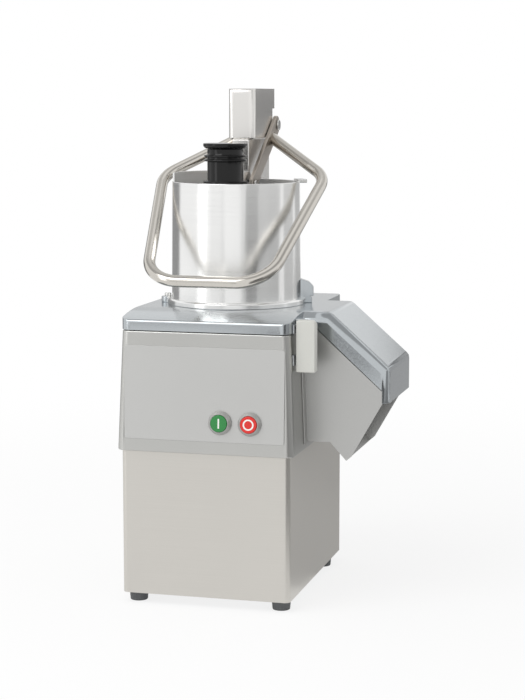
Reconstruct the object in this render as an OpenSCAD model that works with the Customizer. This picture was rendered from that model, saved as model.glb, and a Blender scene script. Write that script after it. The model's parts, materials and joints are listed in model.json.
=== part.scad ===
// Vegetable cutting machine: a belt-driven disc cutter with a lever-fed hopper and a side chute.
// Built with x to the right, y to the back from the base's front face and z up from the floor.
// The finished part is shifted so that its origin is the bottom centre of its box.

/* [Base] */
// Width of the sheet-steel base
base_w = 233; // [228:1:246]
// Depth of the base, front to back
base_d = 311; // [304:1:330]
// Height of the base wall above the feet
base_h = 196; // [185:1:220]
// Thickness of the steel sheet
sheet_t = 2; // [1:0.5:3]
// Corner radius of the base wall
base_r = 8; // [5:1:14]
// Thickness of the base plate
base_plate_t = 3; // [2:0.5:5]
// Height of the feet
foot_h = 14; // [11:1:24]
// Diameter of a foot
foot_d = 26; // [20:1:30]
// Distance of a foot's centre from the side of the base
foot_side = 16.5; // [16:0.5:30]
// Distance of the front feet's centres from the front of the base
foot_front = 22; // [18:1:40]
// Distance of the rear feet's centres from the back of the base
foot_back = 46; // [18:1:70]
// Diameter of the screws that hold the feet
foot_screw_d = 6; // [4:1:8]

/* [Upper housing] */
// Height of the upper housing
housing_h = 161; // [150:1:185]
// How far the housing stands out over the base at its foot
housing_flare = 5.4; // [3:0.1:8]
// How far each side leans in from foot to top
housing_draft = 6.2; // [3:0.1:8]
// Corner radius of the housing
housing_r = 12; // [8:1:18]
// Wall thickness of the housing
housing_wall = 4; // [3:0.5:5]
// Thickness of the top deck
deck_t = 6; // [4:0.5:9]
// Thickness of the housing floor that carries the drive
floor_t = 5; // [4:0.5:8]

/* [Front panel and buttons] */
// Width of the front panel
panel_w = 220; // [190:1:222]
// Height of the front panel
panel_h = 125; // [100:1:130]
// Height of the panel's lower edge above the housing's foot
panel_low = 17; // [10:1:22]
// Thickness of the panel
panel_t = 1.5; // [1:0.1:2.5]
// How far the panel stands proud of the housing
panel_proud = 0.4; // [0.2:0.1:0.8]
// Place of the start button to the right of the centre
start_x = 23; // [15:0.5:35]
// Distance between the two buttons
button_pitch = 40.5; // [36:0.5:45]
// Height of the buttons above the housing's foot
button_low = 43; // [36:1:60]
// Diameter of a button
button_d = 22.5; // [20:0.5:24]
// Outer diameter of the collar round a button
bezel_d = 32; // [30:0.5:34]
// Height of the collar above the panel
bezel_h = 6.6; // [4:0.1:8]
// How far a button stands out of the panel
button_proud = 8; // [7:0.1:9.5]
// Clearance round a button
button_gap = 0.35; // [0.3:0.05:0.6]

/* [Cutting chamber] */
// Distance of the spindle axis from the front of the base
axis_y = 159; // [154:1:164]
// Diameter of the slicing disc
disc_d = 190; // [180:1:192]
// Clearance between the disc and the bowl wall
chamber_gap = 3; // [2:0.5:4]
// Wall thickness of the bowl
bowl_wall = 4; // [3:0.5:5]
// Depth of the bowl below the top deck
bowl_depth = 78; // [65:1:84]
// Thickness of the bowl floor
bowl_floor = 5; // [4:0.5:7]
// Width of the bowl's outlet
outlet_w = 126; // [110:1:134]
// Thickness of the slicing disc
disc_t = 3; // [2:0.5:4]
// Height of the disc's underside above the deck
disc_low = 7; // [5:0.5:9]
// Height of the blades above the disc
blade_h = 3.5; // [2:0.5:4.5]

/* [Lid] */
// Height of the lid's front edge
lid_edge = 15.5; // [12:0.5:17]
// Rise of the lid's top from its front edge to the hopper
lid_rise = 8.5; // [6:0.5:12]
// Length of the rise, from front to back
lid_run = 74; // [60:1:76]
// Thickness of the lid's top
lid_top_t = 6; // [4:0.5:8]
// Gap between the lid's edge and the housing, which the seal bridges
lid_gap = 0.8; // [0.4:0.1:1.2]
// How far the lid stands out over the housing's top
lid_over = 0.8; // [0.4:0.1:2]
// Corner radius of the lid
lid_r = 14; // [8:1:20]
// Distance of the hinge axis behind the housing's top
hinge_back = 14.8; // [13:0.2:18]
// Outer radius of the hinge barrels
hinge_r = 7; // [6:0.25:9]
// Diameter of the hinge pins
hinge_pin_d = 8; // [6:0.5:9]
// Distance of each hinge from the middle
hinge_x = 60; // [45:1:80]
// Length of each barrel
hinge_w = 20; // [14:1:24]

/* [Chute] */
// Distance of the chute's front wall from the front of the base
chute_front = 70; // [66:1:76]
// Width of the chute, front to back
chute_w = 158; // [150:1:164]
// Thickness of the chute's sheet
chute_t = 2; // [1.5:0.5:3]
// Distance of the outermost face of the lid's lip from the middle of the base
chute_reach = 234; // [230:1:245]
// Edge radius of the lid's chute cover
cover_r = 16; // [10:1:20]
// Wall thickness of the chute cover
cover_wall = 4; // [3:0.5:5]
// Place of the bend where the cover starts to fall
bend_x = 152; // [145:1:160]
// Slope of the cover in degrees
cover_slope = 41.5; // [38:0.5:45]
// Place where the seam between cover and chute starts to fall
seam_x = 137; // [130:1:142]
// Place of the chute's right edge
chute_edge_x = 225; // [218:1:226]
// How far the seam falls from there to the chute's right edge
seam_drop = 79; // [70:1:86]
// How far the lip reaches below the deck
lip_drop = 96; // [90:1:110]
// Place of the chute's lower tip
tip_x = 184; // [176:1:192]
// How far the tip lies below the deck
tip_drop = 169; // [160:1:176]
// Length of the chute's level floor past the base's middle
floor_x = 154.5; // [148:0.5:160]
// Height of the chute's level floor above the housing's foot
chute_low = 10; // [6:1:16]
// Width of the flange against the housing
flange_w = 14; // [8:1:18]

/* [Hopper] */
// Inner diameter of the hopper
hopper_bore = 170; // [164:1:172]
// Height of the hopper above the lid
hopper_h = 168; // [150:1:180]
// Wall thickness of the hopper
hopper_wall = 3; // [2:0.5:4]
// Diameter of the base ring
ring_d = 192; // [188:1:196]
// Height of the base ring
ring_h = 8; // [6:0.5:12]
// Height of the raised lip at the left and back of the rim
lip_h = 12; // [6:1:14]
// Height of the block at the hopper's right
lug_h = 34; // [20:1:45]
// Width of the block
lug_w = 18; // [12:1:24]
// Distance of the block's outer face from the spindle axis
lug_reach = 107; // [104:0.5:110]

/* [Column and head] */
// Height of the head's underside above the lid
column_h = 225; // [220:1:240]
// Distance of the column's middle from the spindle axis, to the right
column_x = -1.5; // [-4:0.5:0]
// Width of the column
post_w = 24; // [20:1:28]
// Depth of the column
post_d = 42; // [34:1:44]
// Width of the head
head_w = 38; // [34:1:40]
// Height of the head
head_h = 70; // [62:1:85]
// Distance of the head's front face from the spindle axis
head_back = 30; // [27:1:34]
// Length of the head
head_len = 101; // [98:1:108]
// How far the head's upper part reaches behind its lower part
head_tail = 18; // [12:1:22]
// Height of the head's upper part
head_tail_h = 28; // [20:1:32]
// Clearance between the web under the head and the hopper's rim
web_gap = 1.5; // [1:0.5:4]

/* [Lever] */
// Height of the pivot above the head's underside
pivot_up = 18.5; // [16:0.5:26]
// Distance of the pivot behind the head
pivot_back = 7; // [5:0.5:10]
// Length of an arm from the pivot to the pusher pin
arm_len = 151; // [148:1:154]
// Angle of the arms below level, in degrees
arm_dip = 32; // [31:0.5:33]
// Thickness of an arm
arm_t = 5; // [3:0.5:7]
// Clearance between an arm and the head
arm_gap = 0.75; // [0.5:0.25:3]
// Diameter of the pivot pin
pivot_d = 10; // [8:0.5:12]
// Diameter of the pusher pin
pin_d = 8; // [6:0.5:9]
// Diameter of the handle tube
tube_d = 16; // [14:0.5:18]
// Angle of the handle below level, in degrees
tube_dip = 35; // [34:0.5:36]
// Distance of the handle's root from the pivot
tube_root = 33; // [30:1:42]
// Half width of the handle at its shoulders
shoulder_x = 117.5; // [112:0.5:122]
// Distance of the shoulders from the pivot
shoulder_len = 123.5; // [118:0.5:130]
// Half width of the handle at its lower corners
grip_x = 82.5; // [76:0.5:88]
// Distance of the grip from the pivot
grip_len = 350.5; // [345:0.5:360]
// Bend radius at the shoulders
shoulder_r = 40; // [30:1:44]
// Bend radius at the grip's corners
grip_r = 52; // [40:1:56]

/* [Pusher] */
// Clearance between the pusher and the hopper
pusher_gap = 0.6; // [0.5:0.1:1.5]
// Height of the pusher's underside above the lid
pusher_low = 5; // [4:0.5:8]
// Height of the pusher's skirt
pusher_h = 28; // [20:1:29]
// Thickness of the pusher's plate
pusher_t = 8; // [5:0.5:12]
// Thickness of each cheek of the stem
cheek_t = 5; // [4:0.5:6]
// Play above and below the pusher pin in its slot
slot_play = 2.3; // [2.2:0.1:3]

/* [Tube feed] */
// Distance of the feed tube in front of the spindle axis
tube_ahead = 54; // [53:0.5:55]
// Outer diameter of the sleeve
sleeve_d = 49; // [46:0.5:50]
// Wall thickness of the sleeve
sleeve_wall = 2.2; // [1.8:0.1:3]
// Height of the sleeve above the hopper's rim
sleeve_up = 29; // [20:1:36]
// Diameter of the sleeve's collar at the rim
collar_d = 60; // [56:0.5:61]
// Diameter of the grooved flange on the tube's pusher
grip_d = 57.5; // [54:0.5:60]
// Diameter of the inner pusher's cap
cap_d = 60; // [56:0.5:62]
// Outer diameter of the inner pusher
inner_d = 34; // [30:0.5:36]
// Clearance between the sliding tubes
slide_gap = 0.3; // [0.2:0.05:0.4]

/* [Latch] */
// Width of the latch handle, side to side
latch_w = 25.5; // [24:0.5:30]
// Height of the latch handle
latch_h = 68; // [60:1:74]
// Thickness of the latch handle, front to back
latch_t = 14; // [12:0.5:20]
// Distance of its front face from the front of the base
latch_front = 14; // [12:0.5:16]
// Diameter of the latch pin
latch_pin_d = 6; // [5:0.5:7]
// Radius of the latch handle's outer top corner
latch_r = 6; // [4:0.5:9]

/* [Drive] */
// Clearance between the motor and the base's left wall
motor_side = 6; // [4:0.5:10]
// Clearance between the motor and the base's back wall
motor_rear = 11.5; // [8:0.5:16]
// Diameter of the motor
motor_d = 116; // [96:1:118]
// Length of the motor
motor_len = 150; // [110:1:160]
// Radius of the small pulley's belt face
small_r = 12.5; // [11:0.5:13]
// Radius of the large pulley's belt face
large_r = 50; // [46:1:52]
// Width of the belt
belt_w = 13; // [10:0.5:13]
// Thickness of the belt
belt_t = 3; // [2:0.25:3.5]
// Diameter of the spindle
spindle_d = 19.9; // [16:0.1:22]
// Outer diameter of the bearings
bearing_d = 47; // [40:0.5:52]
// Width of the bearings
bearing_w = 14; // [10:0.5:16]

/* [Hidden] */
$fn = 64;
fit = 0.02;
run = 0.05;
seat = 0.3;
over = 1;
far = 500;
fastener_d = 5;
fastener_head_d = 9;
fastener_head_h = 4.5;

// Heights
z_base = foot_h;
z_split = z_base + base_h;
z_floor = z_split + floor_t;
z_deck = z_split + housing_h;
z_lid = z_deck + lid_edge + lid_rise;
z_rim = z_lid + hopper_h;
z_head = z_lid + column_h;
z_bowl = z_deck - bowl_depth;
z_disc = z_deck + disc_low;
z_pusher = z_lid + pusher_low;
z_button = z_split + button_low;
z_pivot = z_head + pivot_up;

// Housing walls, which lean in from foot to top
draft_slope = housing_draft / housing_h;
draft_deg = atan(draft_slope);
function lean(z) = housing_flare - draft_slope * (z - z_split);
function side_x(z) = base_w / 2 + lean(z);
function front_y(z) = -lean(z);
function rear_y(z) = base_d + lean(z);

// Chamber and outlet
bowl_r = disc_d / 2 + chamber_gap;
bowl_out_r = bowl_r + bowl_wall;
chute_back = chute_front + chute_w;
chute_mid = (chute_front + chute_back) / 2;
outlet_y = chute_mid - outlet_w / 2;
bowl_flange_t = 6;
bowl_flange_w = 5;

// Lid and its hinge
lid_hw = side_x(z_deck) + lid_over;
lid_y0 = front_y(z_deck) - lid_over;
lid_y1 = rear_y(z_deck) + lid_over;
lid_len = lid_y1 - lid_y0;
lid_edge_r = 4;
lid_under = z_lid - lid_top_t;
z_lid_edge = z_deck + lid_gap;
y_hinge = rear_y(z_deck) + hinge_back;
lid_steps = 8;
seal_w = 3.2;
seal_h = 2.6;
seal_r = bowl_out_r + 1;

// Chute outline
z_lip = z_deck - lip_drop;
z_seam = z_deck - seam_drop;
z_tip = z_deck - tip_drop;
z_chute = z_split + chute_low;
seam_gap = 0.6;
wall_gap = 0.2;
flange_end = 2;
toe_run = 7;
toe_fall = 6;

// Chute cover: centres of its two bends, in x and z
cover_top = z_lid;
cover_root = 100;
cover_ease = 0.3;
bend_steps = 6;
bend_centre_top = [bend_x - cover_r * tan(cover_slope / 2), cover_top - cover_r];
bend_centre_lip = [
    chute_reach - cover_r,
    cover_top - tan(cover_slope) * (chute_reach - cover_r - bend_x) - cover_r / cos(cover_slope)
];

// Hopper
hopper_ri = hopper_bore / 2;
hopper_ro = hopper_ri + hopper_wall;
hopper_taper = 1.5;
ring_r = ring_d / 2;
lip_inset = 0.4;
lip_from = 100;
lip_sweep = 95;
ear_dirs = [130, 190];
ear_r = 9;
ear_centre_r = hopper_ri + ear_r + 2;
lug_dir = 16;
tab_dir = 28;
tab_w = 28;
tab_out = 12;
tab_t = 5;

// Column and lever
post_y0 = axis_y + ring_r + 2;
post_y1 = post_y0 + post_d;
post_foot_w = 56;
post_foot_d = 46;
post_foot_t = 7;
post_screw_x = 20;
head_y0 = axis_y + head_back;
head_y1 = head_y0 + head_len;
web_front = head_y0 - 3;
z_web = z_rim + web_gap;
y_pivot = head_y1 + pivot_back;
pivot_lug_r = 13;
arm_in = head_w / 2 + arm_gap;
arm_out = arm_in + arm_t;
arm_root_r = 13;
arm_tip_r = 11;
y_pin = y_pivot - arm_len * cos(arm_dip);
z_pin = z_pivot - arm_len * sin(arm_dip);
pin_reach = y_pivot - arm_len;

// Handle path in its own plane: x sideways, second value the distance from the pivot
shoulder_pt = [shoulder_x, shoulder_len];
function arm_face(side) = [arm_out + side * column_x, tube_root];
function root_pt(side) = arm_face(side) - 0.65 * tube_d * unit(shoulder_pt - arm_face(side));
corner_pt = [grip_x, grip_len];
grip_mid = [0, grip_len];

// Pusher stem
stem_end = 18;
cheek_out = arm_in - 3;
slot_y0 = pin_reach - pin_d / 2 - 1.2;
slot_y1 = y_pin + pin_d / 2 + 1.2;
stem_y0 = slot_y0 - 5;
stem_y1 = slot_y1 + 5;
stem_top = z_pin + stem_end;
pusher_r = hopper_ri - pusher_gap;

// Tube feed
tube_y = axis_y - tube_ahead;
sleeve_ri = sleeve_d / 2 - sleeve_wall;
sleeve_top = z_rim + sleeve_up;
collar_t = 4;
flange_t = 9;
flange_groove = 2.5;
neck_h = 8;
inner_flange_t = 7;
cap_taper = 3;

// Latch
bracket_t = 2.5;
latch_x0 = lid_hw + bracket_t + 2;
latch_edge_r = 2;
latch_pin_in = 5.5;
latch_pivot_x = latch_x0 + latch_pin_in;
z_latch_top = z_deck + lid_edge + 3;
z_latch_pivot = z_latch_top - latch_pin_in;
ear_t = 8;
ear_y = latch_front + latch_t + 1;

// Drive
motor_pos = [
    -(base_w / 2 - sheet_t - motor_side - motor_d / 2),
    base_d - sheet_t - motor_rear - motor_d / 2
];
z_pulley = z_floor + 2;
pulley_lip = 2;
pulley_w = belt_w + 1 + 2 * pulley_lip;
pulley_rim = belt_t + 0.2;
mount_t = 4;
motor_shaft_d = 18;
z_motor = z_split - mount_t;
z_bearing = z_pulley + pulley_w + 4;
z_seat = z_bowl - bowl_floor;
bearing_wall = 8;

// Shift that puts the origin under the middle of the box
box_front = front_y(z_button) - (panel_proud + button_proud) * cos(draft_deg)
    - button_d / 2 * sin(draft_deg);
box_back = y_hinge + hinge_r;
shift = [
    -(chute_reach - base_w / 2 - housing_flare) / 2,
    -(box_front + box_back) / 2,
    0
];

// Shared shapes

// Rectangle with round corners, about the origin
module rounded_rect(w, d, r) {
    square([w - 2 * r, d], center = true);
    square([w, d - 2 * r], center = true);
    for (sx = [-1, 1], sy = [-1, 1])
        translate([sx * (w / 2 - r), sy * (d / 2 - r)])
            circle(r = r);
}

// Outline round two circles, as a belt or a link has
module link(p, rp, q, rq) {
    dir = atan2(q.y - p.y, q.x - p.x);
    spread = acos((rp - rq) / norm(q - p));
    a = [cos(dir + spread), sin(dir + spread)];
    b = [cos(dir - spread), sin(dir - spread)];
    translate(p) circle(r = rp);
    translate(q) circle(r = rq);
    polygon([
        p + (rp - fit) * a,
        p,
        p + (rp - fit) * b,
        q + (rq - fit) * b,
        q,
        q + (rq - fit) * a
    ]);
}

// Cylinder along x
module rod_x(y, z, r, x0, x1)
    translate([x0, y, z])
        rotate([0, 90, 0])
            cylinder(r = r, h = x1 - x0);

// Cylinder along y
module rod_y(x, z, r, y0, y1)
    translate([x, y0, z])
        rotate([-90, 0, 0])
            cylinder(r = r, h = y1 - y0);

// Outline in y and z, drawn out along x
module along_x(x0, x1)
    translate([x0, 0, 0])
        rotate([90, 0, 90])
            linear_extrude(x1 - x0)
                children();

// Outline in x and z, drawn out along y
module along_y(y0, y1)
    translate([0, y1, 0])
        rotate([90, 0, 0])
            linear_extrude(y1 - y0)
                children();

// Frames on the leaning walls: x along the wall, y up it and z out of it
module on_front(x, z)
    translate([x, front_y(z), z])
        rotate([90 - draft_deg, 0, 0])
            children();

module on_side(y, z)
    translate([side_x(z), y, z])
        rotate([90 - draft_deg, 0, 90])
            children();

// Leaning block between two heights, set in from the housing's outside
module leaning_block(z0, z1, inset, r)
    translate([0, base_d / 2, z0])
        linear_extrude(
            height = z1 - z0,
            slices = 1,
            scale = [(side_x(z1) - inset) / (side_x(z0) - inset),
                (base_d / 2 + lean(z1) - inset) / (base_d / 2 + lean(z0) - inset)]
        )
            rounded_rect(2 * (side_x(z0) - inset), base_d + 2 * (lean(z0) - inset), r);

module at_axis(z)
    translate([0, axis_y, z])
        children();

module at_motor(z)
    translate([motor_pos.x, motor_pos.y, z])
        children();

module on_column()
    translate([column_x, 0, 0])
        children();

module at_tube(z)
    translate([0, tube_y, z])
        children();

module ring(ro, ri, h)
    rotate_extrude()
        translate([ri, 0])
            square([ro - ri, h]);

// Cap screw with its head's seat at the origin
module cap_screw(d, head_d, head_h, length) {
    cylinder(d = head_d, h = head_h);
    translate([0, 0, -length])
        cylinder(d = d, h = length + head_h / 2);
}

// Base

module foot_places()
    for (sx = [-1, 1], y = [foot_front, base_d - foot_back])
        translate([sx * (base_w / 2 - foot_side), y, 0])
            children();

gland_d = 16;
gland_x = 78;
gland_up = 34;
gland_nut_d = 22;

module base_shell()
    color("silver")
        difference() {
            translate([0, base_d / 2, z_base])
                linear_extrude(base_h)
                    difference() {
                        rounded_rect(base_w, base_d, base_r);
                        rounded_rect(base_w - 2 * sheet_t, base_d - 2 * sheet_t, base_r - sheet_t);
                    }
            rod_y(gland_x, z_base + gland_up, gland_d / 2 + 0.2, base_d - sheet_t - over, base_d + over);
        }

vent_w = 6;
vent_len = 70;
vent_pitch = 14;

module base_plate() {
    inner_w = base_w - 2 * sheet_t - 0.4;
    inner_d = base_d - 2 * sheet_t - 0.4;
    color("darkgray")
        difference() {
            translate([0, base_d / 2, z_base])
                linear_extrude(base_plate_t)
                    difference() {
                        rounded_rect(inner_w, inner_d, base_r - sheet_t);
                        for (i = [-3 : 3])
                            translate([0, i * vent_pitch])
                                square([vent_len, vent_w], center = true);
                    }
            foot_places()
                translate([0, 0, z_base - over])
                    cylinder(d = foot_screw_d + 0.4, h = base_plate_t + 2 * over);
        }
}

foot_grip = 9;
foot_taper = 1.2;

module feet()
    color("dimgray")
        foot_places()
            difference() {
                cylinder(d1 = foot_d - 2 * foot_taper, d2 = foot_d, h = foot_h);
                translate([0, 0, foot_h - foot_grip])
                    cylinder(d = foot_screw_d + 0.2, h = foot_grip + over);
            }

module foot_screws()
    color("gainsboro")
        foot_places()
            translate([0, 0, z_base + base_plate_t])
                cap_screw(foot_screw_d, foot_screw_d * 1.7, foot_screw_d * 0.7,
                    base_plate_t + foot_grip - 1);

module cable_gland()
    color("dimgray")
        difference() {
            union() {
                rod_y(gland_x, z_base + gland_up, gland_nut_d / 2, base_d, base_d + 5);
                rod_y(gland_x, z_base + gland_up, gland_d / 2, base_d - sheet_t - 6, base_d + 11);
                rod_y(gland_x, z_base + gland_up, gland_nut_d / 2, base_d - sheet_t - 4, base_d - sheet_t);
            }
            rod_y(gland_x, z_base + gland_up, gland_d / 4, base_d - sheet_t - 6 - over, base_d + 11 + over);
        }

// Upper housing

button_hole_d = button_d + 2 * button_gap + 0.4;
shaft_hole_r = 24;

module button_places()
    for (x = [start_x, start_x + button_pitch])
        on_front(x, z_button)
            children();

module panel_place()
    on_front(0, z_split + panel_low + panel_h / 2)
        children();

module upper_housing()
    color("lightgray")
        difference() {
            leaning_block(z_split, z_deck, 0, housing_r);
            leaning_block(z_floor, z_deck - deck_t, housing_wall, housing_r - housing_wall);
            at_axis(z_deck - deck_t - over)
                cylinder(r = bowl_out_r + seat, h = deck_t + 2 * over);
            translate([0, outlet_y, z_bowl])
                cube([far, outlet_w, bowl_depth + over]);
            at_motor(z_split - over)
                cylinder(r = shaft_hole_r, h = floor_t + 2 * over);
            panel_place()
                translate([0, 0, panel_proud - panel_t])
                    linear_extrude(panel_t + over)
                        rounded_rect(panel_w + 0.4, panel_h + 0.4, 4);
            button_places()
                translate([0, 0, -housing_wall - over])
                    cylinder(d = button_hole_d, h = housing_wall + 2 * over);
        }

module front_panel()
    color("gainsboro")
        difference() {
            panel_place()
                translate([0, 0, panel_proud - panel_t])
                    linear_extrude(panel_t)
                        rounded_rect(panel_w, panel_h, 4);
            button_places()
                translate([0, 0, -housing_wall])
                    cylinder(d = button_hole_d, h = housing_wall + over);
        }

bezel_foot = 1.8;
bezel_lip = 1.2;

// Collar that narrows from its foot on the panel to a thin lip round the button
module bezel(x)
    on_front(x, z_button)
        translate([0, 0, panel_proud])
            rotate_extrude()
                polygon([
                    [button_d / 2 + button_gap, 0],
                    [bezel_d / 2, 0],
                    [bezel_d / 2, bezel_foot],
                    [button_d / 2 + button_gap + bezel_lip, bezel_h],
                    [button_d / 2 + button_gap, bezel_h]
                ]);

module start_bezel() color("darkgray") bezel(start_x);
module stop_bezel() color("darkgray") bezel(start_x + button_pitch);

button_inside = 9;

module button(x)
    on_front(x, z_button)
        translate([0, 0, -button_inside])
            cylinder(d = button_d, h = button_inside + panel_proud + button_proud);

module start_button() color("seagreen") button(start_x);
module stop_button() color("red") button(start_x + button_pitch);

switch_w = 30;
switch_len = 36;
switch_bore = 12;

module switch_block(x)
    on_front(x, z_button)
        translate([0, 0, -housing_wall - run])
            difference() {
                translate([-switch_w / 2, -switch_w / 2, -switch_len])
                    cube([switch_w, switch_w, switch_len]);
                translate([0, 0, -switch_bore])
                    cylinder(d = button_hole_d, h = switch_bore + over);
            }

module start_switch() color("dimgray") switch_block(start_x);
module stop_switch() color("dimgray") switch_block(start_x + button_pitch);

control_size = [88, 42, 66];
control_x = -12;
control_y = 12;

module control_box()
    color("whitesmoke")
        translate([control_x - control_size.x / 2, control_y + control_size.y / 2, z_floor])
            linear_extrude(control_size.z)
                rounded_rect(control_size.x, control_size.y, 4);

capacitor_d = 36;
capacitor_h = 66;
capacitor_inset = 42;

module capacitor()
    color("ghostwhite")
        translate([base_w / 2 - capacitor_inset, base_d - capacitor_inset - 6, z_floor]) {
            cylinder(d = capacitor_d, h = capacitor_h);
            cylinder(d = capacitor_d + 6, h = 5);
        }

// Drive

motor_bell_h = 24;
motor_boss_r = 22;

module motor()
    color("slategray")
        at_motor(z_motor)
            rotate_extrude()
                polygon([
                    [motor_shaft_d / 2 + run, 0],
                    [motor_shaft_d / 2 + run, -motor_bell_h],
                    [0, -motor_bell_h],
                    [0, -motor_len],
                    [motor_d / 2 - 12, -motor_len],
                    [motor_d / 2 - 4, -motor_len + motor_bell_h],
                    [motor_d / 2, -motor_len + motor_bell_h],
                    [motor_d / 2, -motor_bell_h],
                    [motor_d / 2 - 6, -motor_bell_h / 2],
                    [motor_d / 2 - 6, 0]
                ]);

module motor_mount()
    color("gray")
        at_motor(z_motor)
            ring(motor_d / 2 - 2, motor_boss_r, mount_t);

module motor_shaft()
    color("silver")
        at_motor(z_motor - motor_bell_h + 1)
            cylinder(d = motor_shaft_d, h = z_pulley + pulley_w + 1 - (z_motor - motor_bell_h + 1));

// Pulley with two lips that keep the belt on
module pulley(face_r, bore_d)
    rotate_extrude()
        polygon([
            [bore_d / 2 + fit, 0],
            [face_r + pulley_rim, 0],
            [face_r + pulley_rim, pulley_lip],
            [face_r, pulley_lip],
            [face_r, pulley_w - pulley_lip],
            [face_r + pulley_rim, pulley_w - pulley_lip],
            [face_r + pulley_rim, pulley_w],
            [bore_d / 2 + fit, pulley_w]
        ]);

pulley_web = 8;
pulley_hub_r = 20;

module motor_pulley()
    color("darkgray")
        at_motor(z_pulley)
            pulley(small_r, motor_shaft_d);

module drive_pulley()
    color("darkgray")
        at_axis(z_pulley)
            difference() {
                pulley(large_r, spindle_d);
                translate([0, 0, pulley_web])
                    ring(large_r - 8, pulley_hub_r, pulley_w);
            }

module drive_belt()
    color("black")
        translate([0, 0, z_pulley + pulley_lip + 0.5])
            linear_extrude(belt_w)
                difference() {
                    link([0, axis_y], large_r + seat + belt_t, motor_pos, small_r + seat + belt_t);
                    link([0, axis_y], large_r + seat, motor_pos, small_r + seat);
                }

tang_d = 16;
tang_h = 12;
ejector_low = 4;
ejector_hub_h = 26;

module spindle()
    color("silver") {
        at_axis(z_pulley - 1)
            cylinder(d = spindle_d, h = z_disc - tang_h - (z_pulley - 1));
        at_axis(z_disc - tang_h)
            cylinder(d = tang_d, h = tang_h + disc_t);
    }

module bearing_housing()
    color("gray")
        difference() {
            at_axis(z_bearing)
                cylinder(d = bearing_d + 2 * bearing_wall, h = z_seat - z_bearing);
            at_axis(z_bearing - over)
                cylinder(d = bearing_d + 2 * fit, h = z_seat - z_bearing + 2 * over);
        }

module bearing(z)
    at_axis(z)
        difference() {
            cylinder(d = bearing_d, h = bearing_w);
            translate([0, 0, -over])
                cylinder(d = spindle_d + 2 * run, h = bearing_w + 2 * over);
        }

module upper_bearing() color("lightsteelblue") bearing(z_seat - bearing_w - 6);
module lower_bearing() color("lightsteelblue") bearing(z_bearing);

seal_d = 40;

module shaft_seal()
    color("saddlebrown")
        at_axis(z_seat)
            ring(seal_d / 2 - fit, spindle_d / 2 + run, bowl_floor);

module cutting_bowl() {
    outlet_end = side_x(z_deck) - housing_wall - 0.2;
    color("lightgray")
        difference() {
            union() {
                at_axis(z_seat)
                    cylinder(r = bowl_out_r, h = bowl_depth + bowl_floor);
                at_axis(z_deck - deck_t - bowl_flange_t)
                    cylinder(r = bowl_out_r + bowl_flange_w, h = bowl_flange_t);
                translate([0, outlet_y - bowl_wall, z_seat])
                    cube([outlet_end, outlet_w + 2 * bowl_wall, bowl_depth + bowl_floor - deck_t]);
            }
            at_axis(z_bowl)
                cylinder(r = bowl_r, h = bowl_depth + over);
            translate([0, outlet_y, z_bowl])
                cube([far, outlet_w, bowl_depth + over]);
            at_axis(z_seat - over)
                cylinder(d = seal_d, h = bowl_floor + 2 * over);
        }
}

vane_t = 4;
vane_h = 22;
vane_count = 3;
ejector_t = 3;
ejector_hub_r = 18;
vane_in = 12;
vane_end = 10;

module ejector_plate()
    color("whitesmoke")
        at_axis(z_bowl + ejector_low)
            difference() {
                union() {
                    cylinder(r = disc_d / 2 - 1, h = ejector_t);
                    cylinder(r = ejector_hub_r, h = ejector_hub_h);
                    for (i = [0 : vane_count - 1])
                        rotate(i * 360 / vane_count)
                            translate([vane_in, -vane_t / 2, 1])
                                cube([disc_d / 2 - vane_in - vane_end, vane_t, vane_h]);
                }
                translate([0, 0, -over])
                    cylinder(d = spindle_d + 2 * fit, h = ejector_hub_h + 2 * over);
            }

disc_hub_r = 20;
blade_in = 24;
blade_w = 16;
blade_count = 2;

// Slot and blade places round the disc
module blade_places()
    for (i = [0 : blade_count - 1])
        rotate(i * 360 / blade_count)
            children();

module slicing_disc()
    color("lightgray")
        at_axis(z_disc)
            difference() {
                union() {
                    cylinder(d = disc_d, h = disc_t);
                    translate([0, 0, -tang_h])
                        cylinder(r = disc_hub_r, h = tang_h);
                }
                translate([0, 0, -tang_h - over])
                    cylinder(d = tang_d + 2 * fit, h = tang_h + disc_t + 2 * over);
                blade_places()
                    translate([blade_in, 0, -over])
                        cube([disc_d / 2 - blade_in - 7, 9, disc_t + 2 * over]);
            }

// Blades with a sloping edge over their slots
module disc_blades()
    color("silver")
        at_axis(z_disc + disc_t)
            blade_places()
                translate([blade_in - 2, 0, 0])
                    rotate([90, 0, 90])
                        linear_extrude(disc_d / 2 - blade_in - 3)
                            polygon([
                                [-blade_w, 0],
                                [0, 0],
                                [5, blade_h - 0.6],
                                [5, blade_h],
                                [-2, 2],
                                [-blade_w, 2]
                            ]);

module disc_knob()
    color("dimgray")
        at_axis(z_disc + disc_t)
            rotate_extrude()
                polygon([[0, 0], [14, 0], [14, 2], [11, 5], [0, 5]]);

// Chute

// Side wall of the chute, seen from the front
module chute_wall_outline()
    polygon([
        [side_x(z_chute) + wall_gap + chute_t / 2, z_chute],
        [floor_x, z_chute],
        [tip_x - toe_run, z_tip - toe_fall],
        [tip_x, z_tip],
        [chute_edge_x, z_lip - 1],
        [chute_edge_x, z_seam - seam_gap],
        [seam_x, z_deck - seam_gap],
        [side_x(z_deck) + wall_gap + chute_t / 2, z_deck - seam_gap]
    ]);

// Floor sheet of the chute, level and then falling to the toe
module chute_floor_outline() {
    fall = unit([tip_x - toe_run - floor_x, z_tip - toe_fall - z_chute]);
    up = [-fall.y, fall.x] * chute_t;
    polygon([
        [side_x(z_chute) + 2 * wall_gap, z_chute],
        [floor_x, z_chute],
        [tip_x - toe_run, z_tip - toe_fall],
        [tip_x - toe_run, z_tip - toe_fall] + up,
        [floor_x, z_chute] + up,
        [floor_x - 1, z_chute + chute_t],
        [side_x(z_chute) + 2 * wall_gap, z_chute + chute_t]
    ]);
}

function unit(v) = v / norm(v);

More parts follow.
